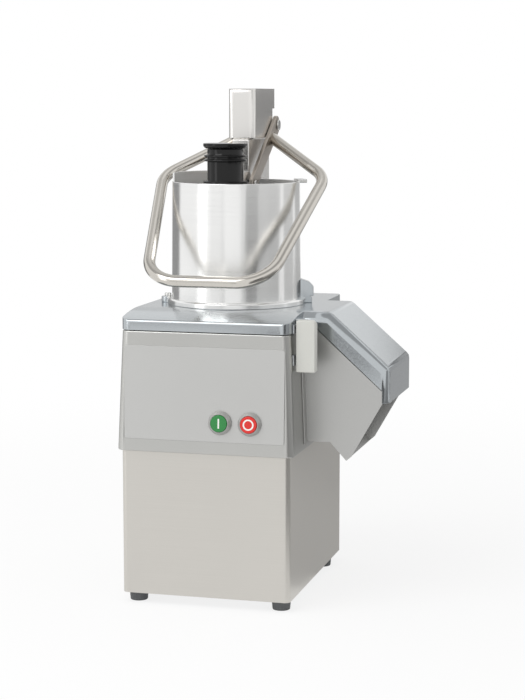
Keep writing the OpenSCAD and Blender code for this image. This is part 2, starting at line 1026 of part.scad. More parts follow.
module chute_flange(y, dir) {
    flange_h = z_deck - z_chute - flange_end;
    on_side(y, z_chute - flange_end + flange_h / 2)
        translate([min(0, dir * flange_w), -flange_h / 2, wall_gap])
            cube([flange_w, flange_h, chute_t]);
}

module chute()
    color("lightgray") {
        along_y(chute_front, chute_front + chute_t) chute_wall_outline();
        along_y(chute_back - chute_t, chute_back) chute_wall_outline();
        along_y(chute_front, chute_back) chute_floor_outline();
        chute_flange(chute_front + chute_t / 2, -1);
        chute_flange(chute_back - chute_t / 2, 1);
    }

// Lid

// Side of the chute cover: level, bent down the slope and bent again into the lip
module cover_outline(inset) {
    r = cover_r - inset;
    polygon(concat(
        [[cover_root - inset, z_lip - chute_w], [cover_root - inset, cover_top - inset]],
        [for (i = [0 : bend_steps])
            bend_centre_top + r * [sin(cover_slope * i / bend_steps), cos(cover_slope * i / bend_steps)]],
        [for (i = [0 : bend_steps], a = cover_slope + (90 - cover_slope) * i / bend_steps)
            bend_centre_lip + r * [sin(a), cos(a)]],
        [[chute_reach - inset, z_lip - chute_w]]
    ));
}

// Long bar with round edges whose top lies just over the cover's own
module cover_bar(inset, ease)
    along_x(-chute_reach, chute_reach)
        translate([chute_mid, ease - inset - chute_w])
            rounded_rect(chute_w - 2 * inset + 2 * ease, 2 * chute_w, cover_r - inset);

// The cover's form, set in by the wall on its inside, with round edges along each of its three faces
module cover_form(inset)
    intersection() {
        along_y(chute_front - 2 * cover_r, chute_back + 2 * cover_r)
            cover_outline(inset);
        translate([bend_x, 0, cover_top])
            cover_bar(inset, cover_ease);
        translate([bend_x, 0, cover_top])
            rotate([0, cover_slope, 0])
                cover_bar(inset, 2 * cover_ease);
        translate([chute_reach, 0, z_seam])
            rotate([0, 90, 0])
                cover_bar(inset, 3 * cover_ease);
    }

// Space above the seam, where the cover is
module above_seam()
    along_y(chute_front - over, chute_back + over)
        polygon([
            [cover_root, z_lid_edge],
            [seam_x, z_lid_edge],
            [chute_edge_x, z_seam],
            [chute_edge_x, z_lip],
            [chute_reach + over, z_lip],
            [chute_reach + over, z_lid + over],
            [cover_root, z_lid + over]
        ]);

// Side view of the lid: a round front edge, a rising top and a round back edge
lid_side = concat(
    [[lid_y0, z_lid_edge]],
    [for (a = [180 : -22.5 : 90])
        [lid_y0 + lid_edge_r + lid_edge_r * cos(a), z_deck + lid_edge - lid_edge_r + lid_edge_r * sin(a)]],
    [for (i = [1 : lid_steps])
        [lid_y0 + lid_edge_r + lid_run * i / lid_steps, z_lid - lid_rise * pow(1 - i / lid_steps, 2)]],
    [for (a = [90 : -22.5 : 0])
        [lid_y1 - lid_edge_r + lid_edge_r * cos(a), z_lid - lid_edge_r + lid_edge_r * sin(a)]],
    [[lid_y1, z_lid_edge]]
);

module lid_plate() {
    intersection() {
        along_x(-lid_hw, lid_hw)
            polygon(lid_side);
        translate([0, (lid_y0 + lid_y1) / 2, z_deck - over])
            linear_extrude(z_lid - z_deck + 2 * over)
                rounded_rect(2 * lid_hw, lid_len, lid_r);
    }
    at_axis(z_deck + lid_edge / 2)
        cylinder(r = ring_r + 1, h = z_lid - z_deck - lid_edge / 2);
}

barrel_gap = 0.4;

// Barrels of the lid's side of the hinge, inboard of the brackets
module lid_barrels()
    for (s = [-1, 1])
        mirror([s < 0 ? 1 : 0, 0, 0]) {
            rod_x(y_hinge, z_deck, hinge_r, hinge_x - hinge_w, hinge_x - barrel_gap);
            along_x(hinge_x - hinge_w, hinge_x - barrel_gap)
                polygon([
                    [lid_y1 - 2, z_deck + 1],
                    [y_hinge, z_deck + 1],
                    [y_hinge, z_deck + hinge_r],
                    [lid_y1 - 2, z_deck + hinge_r]
                ]);
        }

module screw_places_hopper()
    for (d = ear_dirs)
        at_axis(z_lid)
            translate([ear_centre_r * cos(d), ear_centre_r * sin(d), 0])
                children();

module screw_places_column()
    for (sx = [-1, 1], y = [post_y0 + 8, post_y0 + post_foot_d - 8])
        translate([column_x + sx * post_screw_x, y, z_lid])
            children();

module lid()
    color("lightsteelblue")
        difference() {
            union() {
                lid_plate();
                intersection() {
                    cover_form(0);
                    above_seam();
                }
                lid_barrels();
            }
            at_axis(z_deck - over)
                cylinder(r = bowl_out_r - 1, h = lid_under - z_deck + over);
            at_axis(z_deck - over)
                cylinder(r = hopper_ri, h = z_lid - z_deck + 2 * over);
            cover_form(cover_wall);
            at_axis(z_deck - over)
                ring(seal_r + seal_w + 0.2, seal_r - 0.2, seal_h + 0.2 + over);
            rod_x(y_hinge, z_deck, hinge_pin_d / 2 + run, -far, far);
            screw_places_hopper()
                translate([0, 0, -fastener_d])
                    cylinder(d = fastener_d + 0.1, h = fastener_d + over);
            screw_places_column()
                translate([0, 0, -lid_edge - over])
                    cylinder(d = fastener_d + 0.1, h = lid_edge + 2 * over);
        }

module lid_seal()
    color("dimgray")
        difference() {
            at_axis(z_deck + 0.2)
                ring(seal_r + seal_w, seal_r, seal_h);
            translate([0, chute_front, z_deck - over])
                cube([far, chute_w, seal_h + 2 * over]);
        }

bracket_drop = 34;

module hinge_brackets()
    color("silver")
        for (s = [-1, 1])
            mirror([s < 0 ? 1 : 0, 0, 0])
                difference() {
                    union() {
                        rod_x(y_hinge, z_deck, hinge_r, hinge_x, hinge_x + hinge_w);
                        along_x(hinge_x, hinge_x + hinge_w)
                            polygon([
                                [rear_y(z_deck) + 0.2, z_deck - 1],
                                [rear_y(z_deck - bracket_drop) + 0.2, z_deck - bracket_drop],
                                [rear_y(z_deck - bracket_drop) + 5, z_deck - bracket_drop],
                                [y_hinge + hinge_r, z_deck],
                                [y_hinge, z_deck - 1]
                            ]);
                    }
                    rod_x(y_hinge, z_deck, hinge_pin_d / 2 + fit, hinge_x - over, hinge_x + hinge_w + over);
                }

module hinge_pins()
    color("gainsboro")
        for (s = [-1, 1])
            mirror([s < 0 ? 1 : 0, 0, 0])
                rod_x(y_hinge, z_deck, hinge_pin_d / 2, hinge_x - hinge_w, hinge_x + hinge_w + 2);

// Hopper

lug_slope = 5;
lug_bevel = 6;
lug_step = 2;
lug_groove = 1.5;

// Block beside the drum with a sloping, bevelled top and a groove over its foot
module lug()
    along_y(-lug_w / 2, lug_w / 2)
        polygon([
            [hopper_ri + hopper_wall / 2, 0],
            [lug_reach - lug_step, 0],
            [lug_reach - lug_step, ring_h],
            [lug_reach - 2 * lug_step, ring_h],
            [lug_reach - 2 * lug_step, ring_h + lug_groove],
            [lug_reach, ring_h + lug_groove],
            [lug_reach, lug_h - lug_slope - lug_bevel],
            [lug_reach - lug_bevel, lug_h - lug_slope],
            [hopper_ri + hopper_wall / 2, lug_h]
        ]);

module hopper()
    color("gainsboro")
        difference() {
            union() {
                at_axis(z_lid)
                    rotate_extrude()
                        polygon([
                            [hopper_ri, 0],
                            [ring_r, 0],
                            [ring_r, ring_h - 2],
                            [ring_r - 2, ring_h],
                            [hopper_ro + hopper_taper, ring_h],
                            [hopper_ro, hopper_h],
                            [hopper_ri, hopper_h]
                        ]);
                at_axis(z_rim - lip_h / 2)
                    rotate(lip_from)
                        rotate_extrude(angle = lip_sweep)
                            translate([hopper_ri + lip_inset, 0])
                                square([hopper_wall - 2 * lip_inset, 1.5 * lip_h]);
                at_axis(z_rim)
                    rotate(tab_dir)
                        translate([hopper_ri + 0.5, -tab_w / 2, -tab_t / 2])
                            cube([tab_out, tab_w, tab_t]);
                screw_places_hopper()
                    cylinder(r = ear_r, h = ring_h);
                at_axis(z_lid)
                    rotate(lug_dir)
                        lug();
            }
            screw_places_hopper()
                translate([0, 0, -over])
                    cylinder(d = fastener_d + 0.4, h = ring_h + 2 * over);
        }

module hopper_screws()
    color("silver")
        screw_places_hopper()
            translate([0, 0, ring_h])
                cap_screw(fastener_d, fastener_head_d, fastener_head_h, ring_h + fastener_d - 0.5);

// Column and head

module column_post()
    color("gainsboro")
        difference() {
            on_column() {
                along_x(-post_w / 2, post_w / 2)
                    polygon([
                        [post_y0, z_lid],
                        [post_y1, z_lid],
                        [post_y1, z_head],
                        [web_front, z_head],
                        [web_front, z_web],
                        [post_y0, z_web]
                    ]);
                translate([0, post_y0 + post_foot_d / 2, z_lid])
                    linear_extrude(post_foot_t)
                        rounded_rect(post_foot_w, post_foot_d, 6);
            }
            screw_places_column()
                translate([0, 0, -over])
                    cylinder(d = fastener_d + 0.4, h = post_foot_t + 2 * over);
        }

module column_screws()
    color("silver")
        screw_places_column()
            translate([0, 0, post_foot_t])
                cap_screw(fastener_d, fastener_head_d, fastener_head_h, post_foot_t + lid_edge / 2);

head_edge_r = 8;
head_top_r = 6;

corner_steps = 6;
function arc(centre, r, from, to) =
    [for (i = [0 : corner_steps], a = from + (to - from) * i / corner_steps) centre + r * [cos(a), sin(a)]];

// Side view of the head: a tall front and an upper part that reaches further back
module head_outline() {
    tail_y = head_y1 + head_tail - head_top_r;
    head_top = z_head + head_h - head_top_r;
    tail_low = z_head + head_h - head_tail_h;
    polygon(concat(
        [[head_y0, z_head], [head_y1, z_head], [head_y1, tail_low]],
        arc([tail_y, tail_low + head_top_r], head_top_r, -90, 0),
        arc([tail_y, head_top], head_top_r, 0, 90),
        arc([head_y0 + head_top_r, head_top], head_top_r, 90, 180)
    ));
}

module column_head()
    color("whitesmoke") on_column()
        difference() {
            union() {
                intersection() {
                    translate([0, head_y0 + (head_len + head_tail) / 2, z_head])
                        linear_extrude(head_h)
                            rounded_rect(head_w, head_len + head_tail, head_edge_r);
                    along_x(-head_w, head_w)
                        head_outline();
                }
                rod_x(y_pivot, z_pivot, pivot_lug_r, -post_w / 2, post_w / 2);
                along_x(-post_w / 2, post_w / 2)
                    translate([head_y1 - 2 * head_edge_r, z_pivot - pivot_lug_r])
                        square([y_pivot - head_y1 + 2 * head_edge_r, 2 * pivot_lug_r]);
            }
            rod_x(y_pivot, z_pivot, pivot_d / 2 + fit, -head_w, head_w);
        }

pin_head = 3;

// Pin through the arms with a head at each end
module headed_pin(y, z, d) {
    rod_x(y, z, d / 2, -arm_out - pin_head, arm_out + pin_head);
    for (x = [-arm_out - pin_head, arm_out + 0.3])
        rod_x(y, z, d * 0.75, x, x + pin_head - 0.3);
}

module pivot_pin() color("silver") on_column() headed_pin(y_pivot, z_pivot, pivot_d);
module pusher_pin() color("silver") on_column() headed_pin(y_pin, z_pin, pin_d);

// Lever

module lever_arms()
    color("rosybrown") on_column()
        for (x = [-arm_out, arm_in])
            difference() {
                along_x(x, x + arm_t)
                    link([y_pivot, z_pivot], arm_root_r, [y_pin, z_pin], arm_tip_r);
                rod_x(y_pivot, z_pivot, pivot_d / 2 + run, x - over, x + arm_t + over);
                rod_x(y_pin, z_pin, pin_d / 2 + fit, x - over, x + arm_t + over);
            }

joint_gap = 0.05;
spigot_wall = 2;
spigot_len = 1.5;

// Straight run of the handle between two points of its plane, with a spigot into its neighbours
module tube_run(p, q, r)
    translate([p.x, -p.y, 0])
        rotate([0, 0, atan2(p.y - q.y, q.x - p.x)])
            rotate([0, 90, 0]) {
                translate([0, 0, joint_gap])
                    cylinder(r = r, h = norm(q - p) - 2 * joint_gap);
                translate([0, 0, -spigot_len])
                    cylinder(r = r - spigot_wall, h = norm(q - p) + 2 * spigot_len);
            }

// Geometry of a bend at b, between a and c, with centre-line radius r
function bend_half(a, b, c) = acos(unit(a - b) * unit(c - b)) / 2;
function bend_start(a, b, c, r) = b + unit(a - b) * r / tan(bend_half(a, b, c));
function bend_end(a, b, c, r) = b + unit(c - b) * r / tan(bend_half(a, b, c));
function bend_centre(a, b, c, r) =
    b + unit(unit(a - b) + unit(c - b)) * r / sin(bend_half(a, b, c));

module tube_bend(a, b, c, bend_r, r) {
    centre = bend_centre(a, b, c, bend_r);
    last = bend_end(a, b, c, bend_r) - centre;
    translate([centre.x, -centre.y, 0])
        rotate([0, 0, atan2(-last.y, last.x)])
            rotate_extrude(angle = 180 - 2 * bend_half(a, b, c))
                translate([bend_r, 0])
                    circle(r = r);
}

// One side of the handle, drawn to the right, from its root to the grip
module handle_side(side, r) {
    root = root_pt(side);
    shoulder_0 = bend_start(root, shoulder_pt, corner_pt, shoulder_r);
    shoulder_1 = bend_end(root, shoulder_pt, corner_pt, shoulder_r);
    corner_0 = bend_start(shoulder_pt, corner_pt, grip_mid, grip_r);
    tube_run(root, shoulder_0, r);
    tube_bend(root, shoulder_pt, corner_pt, shoulder_r, r);
    tube_run(shoulder_1, corner_0, r);
    tube_bend(shoulder_pt, corner_pt, grip_mid, grip_r, r);
}

module whole_handle(r) {
    grip_end = bend_end(shoulder_pt, corner_pt, grip_mid, grip_r);
    handle_side(1, r);
    mirror([1, 0, 0]) handle_side(-1, r);
    tube_run([-grip_end.x, grip_end.y], grip_end, r);
}

module lever_tube()
    color("tan")
        difference() {
            translate([0, y_pivot, z_pivot])
                rotate([tube_dip, 0, 0])
                    whole_handle(tube_d / 2);
            translate([column_x - arm_out, y_pivot - 2 * tube_root, z_pivot - 2 * tube_root])
                cube([2 * arm_out, 4 * tube_root, 4 * tube_root]);
        }

// Pusher and feed tube

module pusher_plate()
    color("gainsboro")
        difference() {
            at_axis(z_pusher)
                cylinder(r = pusher_r, h = pusher_h);
            at_axis(z_pusher + pusher_t)
                cylinder(r = pusher_r - 4, h = pusher_h);
            at_tube(z_pusher - over)
                cylinder(d = sleeve_d + 0.4, h = pusher_h + 2 * over);
        }

module pusher_stem()
    color("gainsboro") on_column()
        difference() {
            along_x(-cheek_out, cheek_out)
                translate([(stem_y0 + stem_y1) / 2, (z_pusher + pusher_t + stem_top - 8) / 2])
                    rounded_rect(stem_y1 - stem_y0, stem_top + 8 - z_pusher - pusher_t, 8);
            translate([-far, 0, z_pusher + pusher_t - far])
                cube([2 * far, far, far]);
            along_x(-cheek_out + cheek_t, cheek_out - cheek_t)
                translate([stem_y0 - over, z_pusher + 2 * pusher_t])
                    square([stem_y1 - stem_y0 - cheek_t + over, stem_top]);
            along_x(-far, far)
                link([slot_y0 + pin_d / 2 + slot_play, z_pin], pin_d / 2 + slot_play,
                    [slot_y1 - pin_d / 2 - slot_play, z_pin], pin_d / 2 + slot_play);
        }

module tube_sleeve()
    color("black") {
        at_tube(z_pusher)
            ring(sleeve_d / 2, sleeve_ri, sleeve_top - z_pusher);
        at_tube(z_rim - 1)
            ring(collar_d / 2, sleeve_d / 2 - 0.5, collar_t);
    }

tube_start = 2;

module tube_pusher()
    color("black")
        difference() {
            union() {
                at_tube(z_pusher + tube_start)
                    cylinder(
                        r = sleeve_ri - slide_gap,
                        h = sleeve_top + seat + flange_t - z_pusher - tube_start
                    );
                for (z = [0, flange_t - (flange_t - flange_groove) / 2])
                    at_tube(sleeve_top + seat + z)
                        cylinder(d = grip_d, h = (flange_t - flange_groove) / 2);
                at_tube(sleeve_top + seat)
                    cylinder(d = sleeve_d, h = flange_t + neck_h);
            }
            at_tube(z_pusher)
                cylinder(d = inner_d + 2 * slide_gap, h = far);
        }

module inner_pusher()
    color("black") {
        top = sleeve_top + 2 * seat + flange_t + neck_h;
        at_tube(z_pusher + 2 * tube_start)
            cylinder(d = inner_d, h = top + inner_flange_t - z_pusher - 2 * tube_start);
        at_tube(top)
            cylinder(d1 = cap_d - 2 * cap_taper, d2 = cap_d, h = cap_taper);
        at_tube(top + cap_taper)
            cylinder(d = cap_d, h = inner_flange_t - cap_taper);
    }

// Latch

bracket_low = 1;
bracket_tall = lid_edge + 2;

module latch_bracket()
    color("silver")
        difference() {
            union() {
                translate([lid_hw + 0.1, latch_front, z_deck + bracket_low])
                    cube([bracket_t, ear_y + ear_t - latch_front, lid_edge - lid_edge_r]);
                translate([lid_hw + 0.1, ear_y, z_deck + bracket_low])
                    cube([latch_pivot_x + latch_pin_in - lid_hw, ear_t, bracket_tall]);
            }
            rod_y(latch_pivot_x, z_latch_pivot, latch_pin_d / 2 + fit, ear_y - over, ear_y + ear_t + over);
        }

pin_depth = 10;

module latch_pin()
    color("gainsboro")
        rod_y(latch_pivot_x, z_latch_pivot, latch_pin_d / 2, ear_y - 1 - pin_depth, ear_y + ear_t + 1);

// Front view of the latch handle, with one large corner at its outer top
module latch_outline() {
    difference() {
        rounded_rect(latch_w, latch_h, latch_edge_r);
        translate([latch_w / 2 - latch_r, latch_h / 2 - latch_r])
            square(latch_r + over);
    }
    translate([latch_w / 2 - latch_r, latch_h / 2 - latch_r])
        circle(r = latch_r);
}

module latch_handle()
    color("ivory")
        difference() {
            along_y(latch_front, latch_front + latch_t)
                translate([latch_x0 + latch_w / 2, z_latch_top - latch_h / 2])
                    latch_outline();
            rod_y(latch_pivot_x, z_latch_pivot, latch_pin_d / 2 + run,
                latch_front + latch_t - pin_depth - 0.5, latch_front + latch_t + over);
        }

catch_size = [18, 14, 2];
catch_drop = 34;

module latch_catch()
    color("silver")
        on_side(latch_front + latch_t / 2, z_deck - catch_drop)
            translate([-catch_size.x / 2, -catch_size.y / 2, run])
                cube(catch_size);

// Assembly

module placed()
    translate(shift)
        children();

placed() base_shell();
placed() base_plate();
placed() feet();
placed() foot_screws();
placed() upper_housing();
placed() front_panel();
placed() start_bezel();
placed() stop_bezel();
placed() start_button();
placed() stop_button();
placed() start_switch();
placed() stop_switch();
placed() control_box();
placed() capacitor();
placed() cable_gland();
placed() motor();
placed() motor_mount();
placed() motor_shaft();
placed() motor_pulley();
placed() drive_belt();
placed() drive_pulley();
placed() spindle();
placed() bearing_housing();
placed() upper_bearing();
placed() lower_bearing();
placed() shaft_seal();
placed() cutting_bowl();
placed() ejector_plate();
placed() slicing_disc();
placed() disc_blades();
placed() disc_knob();
placed() chute();
placed() lid();
placed() lid_seal();
placed() hinge_brackets();
placed() hinge_pins();
placed() hopper();
placed() hopper_screws();
placed() column_post();
placed() column_screws();
placed() column_head();
placed() pivot_pin();
placed() lever_arms();
placed() lever_tube();
placed() pusher_pin();
placed() pusher_plate();
placed() pusher_stem();
placed() tube_sleeve();
placed() tube_pusher();
placed() inner_pusher();
placed() latch_bracket();
placed() latch_pin();
placed() latch_handle();
placed() latch_catch();
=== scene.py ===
"""Vegetable cutting machine: its finished metals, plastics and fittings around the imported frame."""

import json
import math

import bmesh
import bpy
from bpy.props import FloatProperty, FloatVectorProperty, PointerProperty
from mathutils import Matrix, Vector
from mathutils.bvhtree import BVHTree
from mathutils.geometry import intersect_point_line


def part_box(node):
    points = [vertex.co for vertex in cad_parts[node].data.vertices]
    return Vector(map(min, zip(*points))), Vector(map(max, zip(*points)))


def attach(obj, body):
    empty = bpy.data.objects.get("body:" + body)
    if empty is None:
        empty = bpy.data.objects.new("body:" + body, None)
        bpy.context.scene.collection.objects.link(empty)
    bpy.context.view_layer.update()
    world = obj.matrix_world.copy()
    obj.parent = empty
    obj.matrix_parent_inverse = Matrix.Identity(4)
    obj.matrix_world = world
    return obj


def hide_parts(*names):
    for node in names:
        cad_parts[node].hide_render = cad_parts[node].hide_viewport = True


bl_info = {
    "name": "Vegetable cutting machine",
    "version": (1, 0, 0),
    "blender": (4, 5, 0),
    "location": "View3D > Sidebar > Cutter",
    "description": "Dresses the packed cutting machine and sets it in a pale studio",
    "category": "Object",
}

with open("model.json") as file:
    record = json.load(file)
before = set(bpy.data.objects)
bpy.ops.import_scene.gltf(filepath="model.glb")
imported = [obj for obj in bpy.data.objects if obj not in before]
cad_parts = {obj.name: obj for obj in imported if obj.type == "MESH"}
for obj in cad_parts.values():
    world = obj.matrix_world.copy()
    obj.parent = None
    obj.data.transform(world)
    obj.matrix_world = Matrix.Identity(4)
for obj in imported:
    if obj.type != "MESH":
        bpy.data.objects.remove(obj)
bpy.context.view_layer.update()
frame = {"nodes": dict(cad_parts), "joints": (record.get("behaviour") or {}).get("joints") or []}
NODES = frame["nodes"]
MM = 0.001
UP = Vector((0, 0, 1))

# Points nearer than this, in metres, are one point
MERGE = 2e-6
# Edges that turn more than this, in degrees, are real ones
SHARP = 32
# Faces that turn less than this from each other, in degrees, are one flat face
FLAT = 0.3
# An edge that turns more than this, in degrees, has folded over itself
FOLD = 150
# Upright part of a normal past which a face is level
LEVEL = 0.99
# Number of roundings away from the surface at which a point has left it
STRAY = 0.6
# Number of roundings round a fault within which edges stay sharp
NEAR = 1.2
# How often edges with a fault are taken out before giving up
TRIES = 12


def linear(code):
    """Linear colour with alpha from an sRGB hex code."""
    values = [int(code[i:i + 2], 16) / 255 for i in (0, 2, 4)]
    return tuple(v / 12.92 if v <= 0.04045 else ((v + 0.055) / 1.055) ** 2.4 for v in values) + (1.0,)


def colour(label, about, code):
    """Colour property with an sRGB default."""
    return FloatVectorProperty(name=label, description=about, subtype="COLOR", size=4,
                               min=0.0, max=1.0, default=linear(code))


def length(label, about, millimetres):
    """Length property with a default in millimetres."""
    return FloatProperty(name=label, description=about, subtype="DISTANCE", unit="LENGTH",
                         min=0.0, default=millimetres * MM)


class CutterColours(bpy.types.PropertyGroup):
    """Colours of the machine's finishes."""

    base_steel: colour("Base steel", "Brushed stainless sheet of the base", "D1CEC8")
    chute_steel: colour("Chute steel", "Satin stainless sheet of the chute", "BDBDBB")
    housing: colour("Housing", "Satin cast aluminium of the housing", "C2C2BF")
    panel: colour("Panel", "Silver film of the front panel", "C7C7C5")
    lid: colour("Lid", "Bright anodised aluminium of the lid", "B9BEC1")
    hopper: colour("Hopper", "Polished aluminium of the hopper", "EFEFEE")
    head: colour("Head", "Satin cast aluminium of the column and head", "E4E2DF")
    handle: colour("Handle", "Satin stainless tube of the handle", "CFCBC4")
    arm: colour("Arms", "Dull stainless plate of the arms", "B3ABA2")
    bright: colour("Bright steel", "Ground steel of pins, screws and shafts", "D8D8D6")
    zinc: colour("Zinc", "Zinc-plated steel of brackets and plates", "B9BCBE")
    black: colour("Black plastic", "Moulded black plastic of the feed tubes", "0C0C0C")
    bezel: colour("Bezel", "Grey plastic rings round the buttons", "ABABA8")
    latch: colour("Latch", "Cream moulded plastic of the latch", "D0D0CA")
    green: colour("Green", "Translucent green of the start button", "26853F")
    red: colour("Red", "Translucent red of the stop button", "DC2A22")
    mark: colour("Marks", "White print on the buttons", "F4F4F0")
    rubber: colour("Rubber", "Grey rubber of the feet and seals", "616365")
    motor: colour("Motor", "Grey paint of the motor", "6D7276")
    floor: colour("Floor", "Pale studio floor", "F6F6F6")


class CutterSizes(bpy.types.PropertyGroup):
    """Sizes of the details that the looks add to the frame."""

    mark_proud: length("Mark height", "How far the print stands off a button", 0.08)
    mark_bar: length("Bar length", "Length of the bar on the start button", 13)
    mark_line: length("Mark line", "Line width of the marks", 2)
    mark_ring: length("Ring radius", "Outer radius of the ring on the stop button", 7.4)
    ring_radius: length("Ring edge", "Radius past which the hopper's castings begin", 96.4)


def title(words):
    """Name in one word for a node or a finish, such as BaseShell for base_shell."""
    return words.title().replace("_", "").replace(" ", "")


# Shapes


def new_piece(name, mesh):
    """Object for a finished mesh, at the origin."""
    piece = bpy.data.objects.new(name, mesh)
    bpy.context.scene.collection.objects.link(piece)
    return piece


def smooth(mesh):
    """Smooth shading with the real edges left sharp."""
    mesh.shade_smooth()
    mesh.set_sharp_from_angle(angle=math.radians(SHARP))


def mesh_from(name, verts, faces):
    """Mesh from its points and faces."""
    mesh = bpy.data.meshes.new(name)
    mesh.from_pydata([tuple(v) for v in verts], [], faces)
    mesh.validate()
    return mesh


def rounded(corners, steps):
    """Closed outline whose corners (x, y, radius) are turned into arcs of so many steps."""
    arc_share = 0.49
    points = []
    for i, (x, y, radius) in enumerate(corners):
        here = Vector((x, y))
        if radius <= 0:
            points.append(here)
            continue
        before = Vector(corners[i - 1][:2]) - here
        after = Vector(corners[(i + 1) % len(corners)][:2]) - here
        half = before.angle(after) / 2
        reach = min(radius / math.tan(half), arc_share * before.length, arc_share * after.length)
        radius = reach * math.tan(half)
        start = here + before.normalized() * reach
        end = here + after.normalized() * reach
        inwards = (before.normalized() + after.normalized()).normalized()
        centre = here + inwards * radius / math.sin(half)
        first, last = start - centre, end - centre
        turn = first.angle_signed(last)
        for step in range(steps + 1):
            points.append(centre + Matrix.Rotation(-turn * step / steps, 2) @ first)
    return points


def lathe(name, outline, segments):
    """Ring of revolution from a closed outline of (radius, height), in metres, about the z axis."""
    rings, verts = [], []
    for radius, height in outline:
        if radius < MERGE:
            rings.append([len(verts)] * segments)
            verts.append((0, 0, height))
            continue
        rings.append(list(range(len(verts), len(verts) + segments)))
        for k in range(segments):
            turn = 2 * math.pi * k / segments
            verts.append((radius * math.cos(turn), radius * math.sin(turn), height))
    faces = []
    for ring, above in zip(rings, rings[1:] + rings[:1]):
        for k in range(segments):
            face = list(dict.fromkeys([ring[k], ring[k - 1], above[k - 1], above[k]]))
            if len(face) > 2:
                faces.append(face)
    mesh = mesh_from(name, verts, faces)
    outward(mesh)
    return mesh


def outward(mesh):
    """Merges doubled points and turns every face outwards."""
    bm = bmesh.new()
    bm.from_mesh(mesh)
    bmesh.ops.remove_doubles(bm, verts=bm.verts, dist=MERGE)
    bmesh.ops.recalc_face_normals(bm, faces=bm.faces)
    bm.to_mesh(mesh)
    bm.free()


def prism(name, outline, thickness):
    """Plate from a closed outline in the x-y plane."""
    bm = bmesh.new()
    face = bm.faces.new([bm.verts.new((p.x, p.y, 0)) for p in outline])
    lifted = bmesh.ops.extrude_face_region(bm, geom=[face])["geom"]
    points = [v for v in lifted if isinstance(v, bmesh.types.BMVert)]
    bmesh.ops.translate(bm, vec=(0, 0, thickness), verts=points)
    bmesh.ops.recalc_face_normals(bm, faces=bm.faces)
    mesh = bpy.data.meshes.new(name)
    bm.to_mesh(mesh)
    bm.free()
    return mesh


def close_to(edge, point, reach):
    """Whether a point lies within reach of an edge."""
    start, end = (v.co for v in edge.verts)
    foot, share = intersect_point_line(point, start, end)
    foot = start if share < 0 else end if share > 1 else foot
    return (foot - point).length < reach


def wrongly_filled(bm):
    """Points of the flat faces whose outline crosses itself, so that they don't fill as drawn."""
    spare_area, spare_share = 1e-6, 0.01
    trial = bpy.data.meshes.new("Trial")
    bm.faces.index_update()
    bm.to_mesh(trial)
    trial.calc_loop_triangles()
    filled = [0.0] * len(trial.polygons)
    for triangle in trial.loop_triangles:
        filled[triangle.polygon_index] += triangle.area
    bpy.data.meshes.remove(trial)
    areas = [(f, f.calc_area()) for f in bm.faces]
    wrong = [f for f, area in areas if filled[f.index] - area > spare_area + spare_share * area]
    return [v.co.copy() for f in wrong for v in f.verts]


def softened(node, edge, rims):
    """Copy of a CAD node with its points merged and its outer edges rounded, or only its top's and foot's.

    Level faces keep the CAD's own split, since a ring merged into one outline doesn't fill well.
    An edge stays sharp where its rounding would fold over itself or leave the surface.
    """
    whole = bmesh.new()
    whole.from_mesh(NODES[node].data)
    bmesh.ops.remove_doubles(whole, verts=whole.verts, dist=MERGE)
    whole.normal_update()
    walls = [e for e in whole.edges if any(abs(f.normal.z) < LEVEL for f in e.link_faces)]
    bmesh.ops.dissolve_limit(whole, angle_limit=math.radians(FLAT), verts=[], edges=walls)
    whole.edges.index_update()
    shape = BVHTree.FromBMesh(whole)
    hard = [e for e in whole.edges if e.is_convex and e.calc_face_angle(0) > math.radians(SHARP)]
    if rims:
        level = 0.1 * MM
        ends = [pick(v.co.z for v in whole.verts) for pick in (min, max)]
        hard = [e for e in hard if any(all(abs(v.co.z - end) < level for v in e.verts) for end in ends)]
    for _ in range(TRIES):
        bm = whole.copy()
        bm.edges.ensure_lookup_table()
        bmesh.ops.bevel(bm, geom=[bm.edges[e.index] for e in hard], offset=edge, segments=3, profile=0.5,
                        affect="EDGES", clamp_overlap=False, miter_outer="ARC")
        bm.normal_update()
        folds = [e for e in bm.edges if e.calc_face_angle(0) > math.radians(FOLD)]
        faults = [v.co.copy() for e in folds for v in e.verts]
        faults += [v.co.copy() for v in bm.verts if shape.find_nearest(v.co)[3] > STRAY * edge]
        faults = faults or wrongly_filled(bm)
        if not faults:
            break
        bm.free()
        hard = [e for e in hard if not any(close_to(e, point, NEAR * edge) for point in faults)]
    else:
        raise RuntimeError(f"the edges of {node} don't take a rounding of {edge} m")
    mesh = bpy.data.meshes.new(title(node))
    bm.to_mesh(mesh)
    bm.free()
    whole.free()
    return mesh


# Node trees and materials


def add(tree, kind, values=None, links=None, **settings):
    """Adds a node with its settings, socket values and links."""
    made = tree.nodes.new(kind)
    for key, value in settings.items():
        setattr(made, key, value)
    for key, value in (values or {}).items():
        made.inputs[key].default_value = value
    for key, source in (links or {}).items():
        tree.links.new(source, made.inputs[key])
    return made


# Size of the soft clouds under every grain, in millimetres, and their share in what shows
CLOUD = 111
CLOUD_SHARE = 0.35
# Part of the noise's range over which a finish goes from its darkest to its lightest
NOISE_RANGE = (0.3, 0.7)


def bare_tree(owner):
    """Emptied node tree of a material or world."""
    owner.use_nodes = True
    owner.node_tree.nodes.clear()
    return owner.node_tree


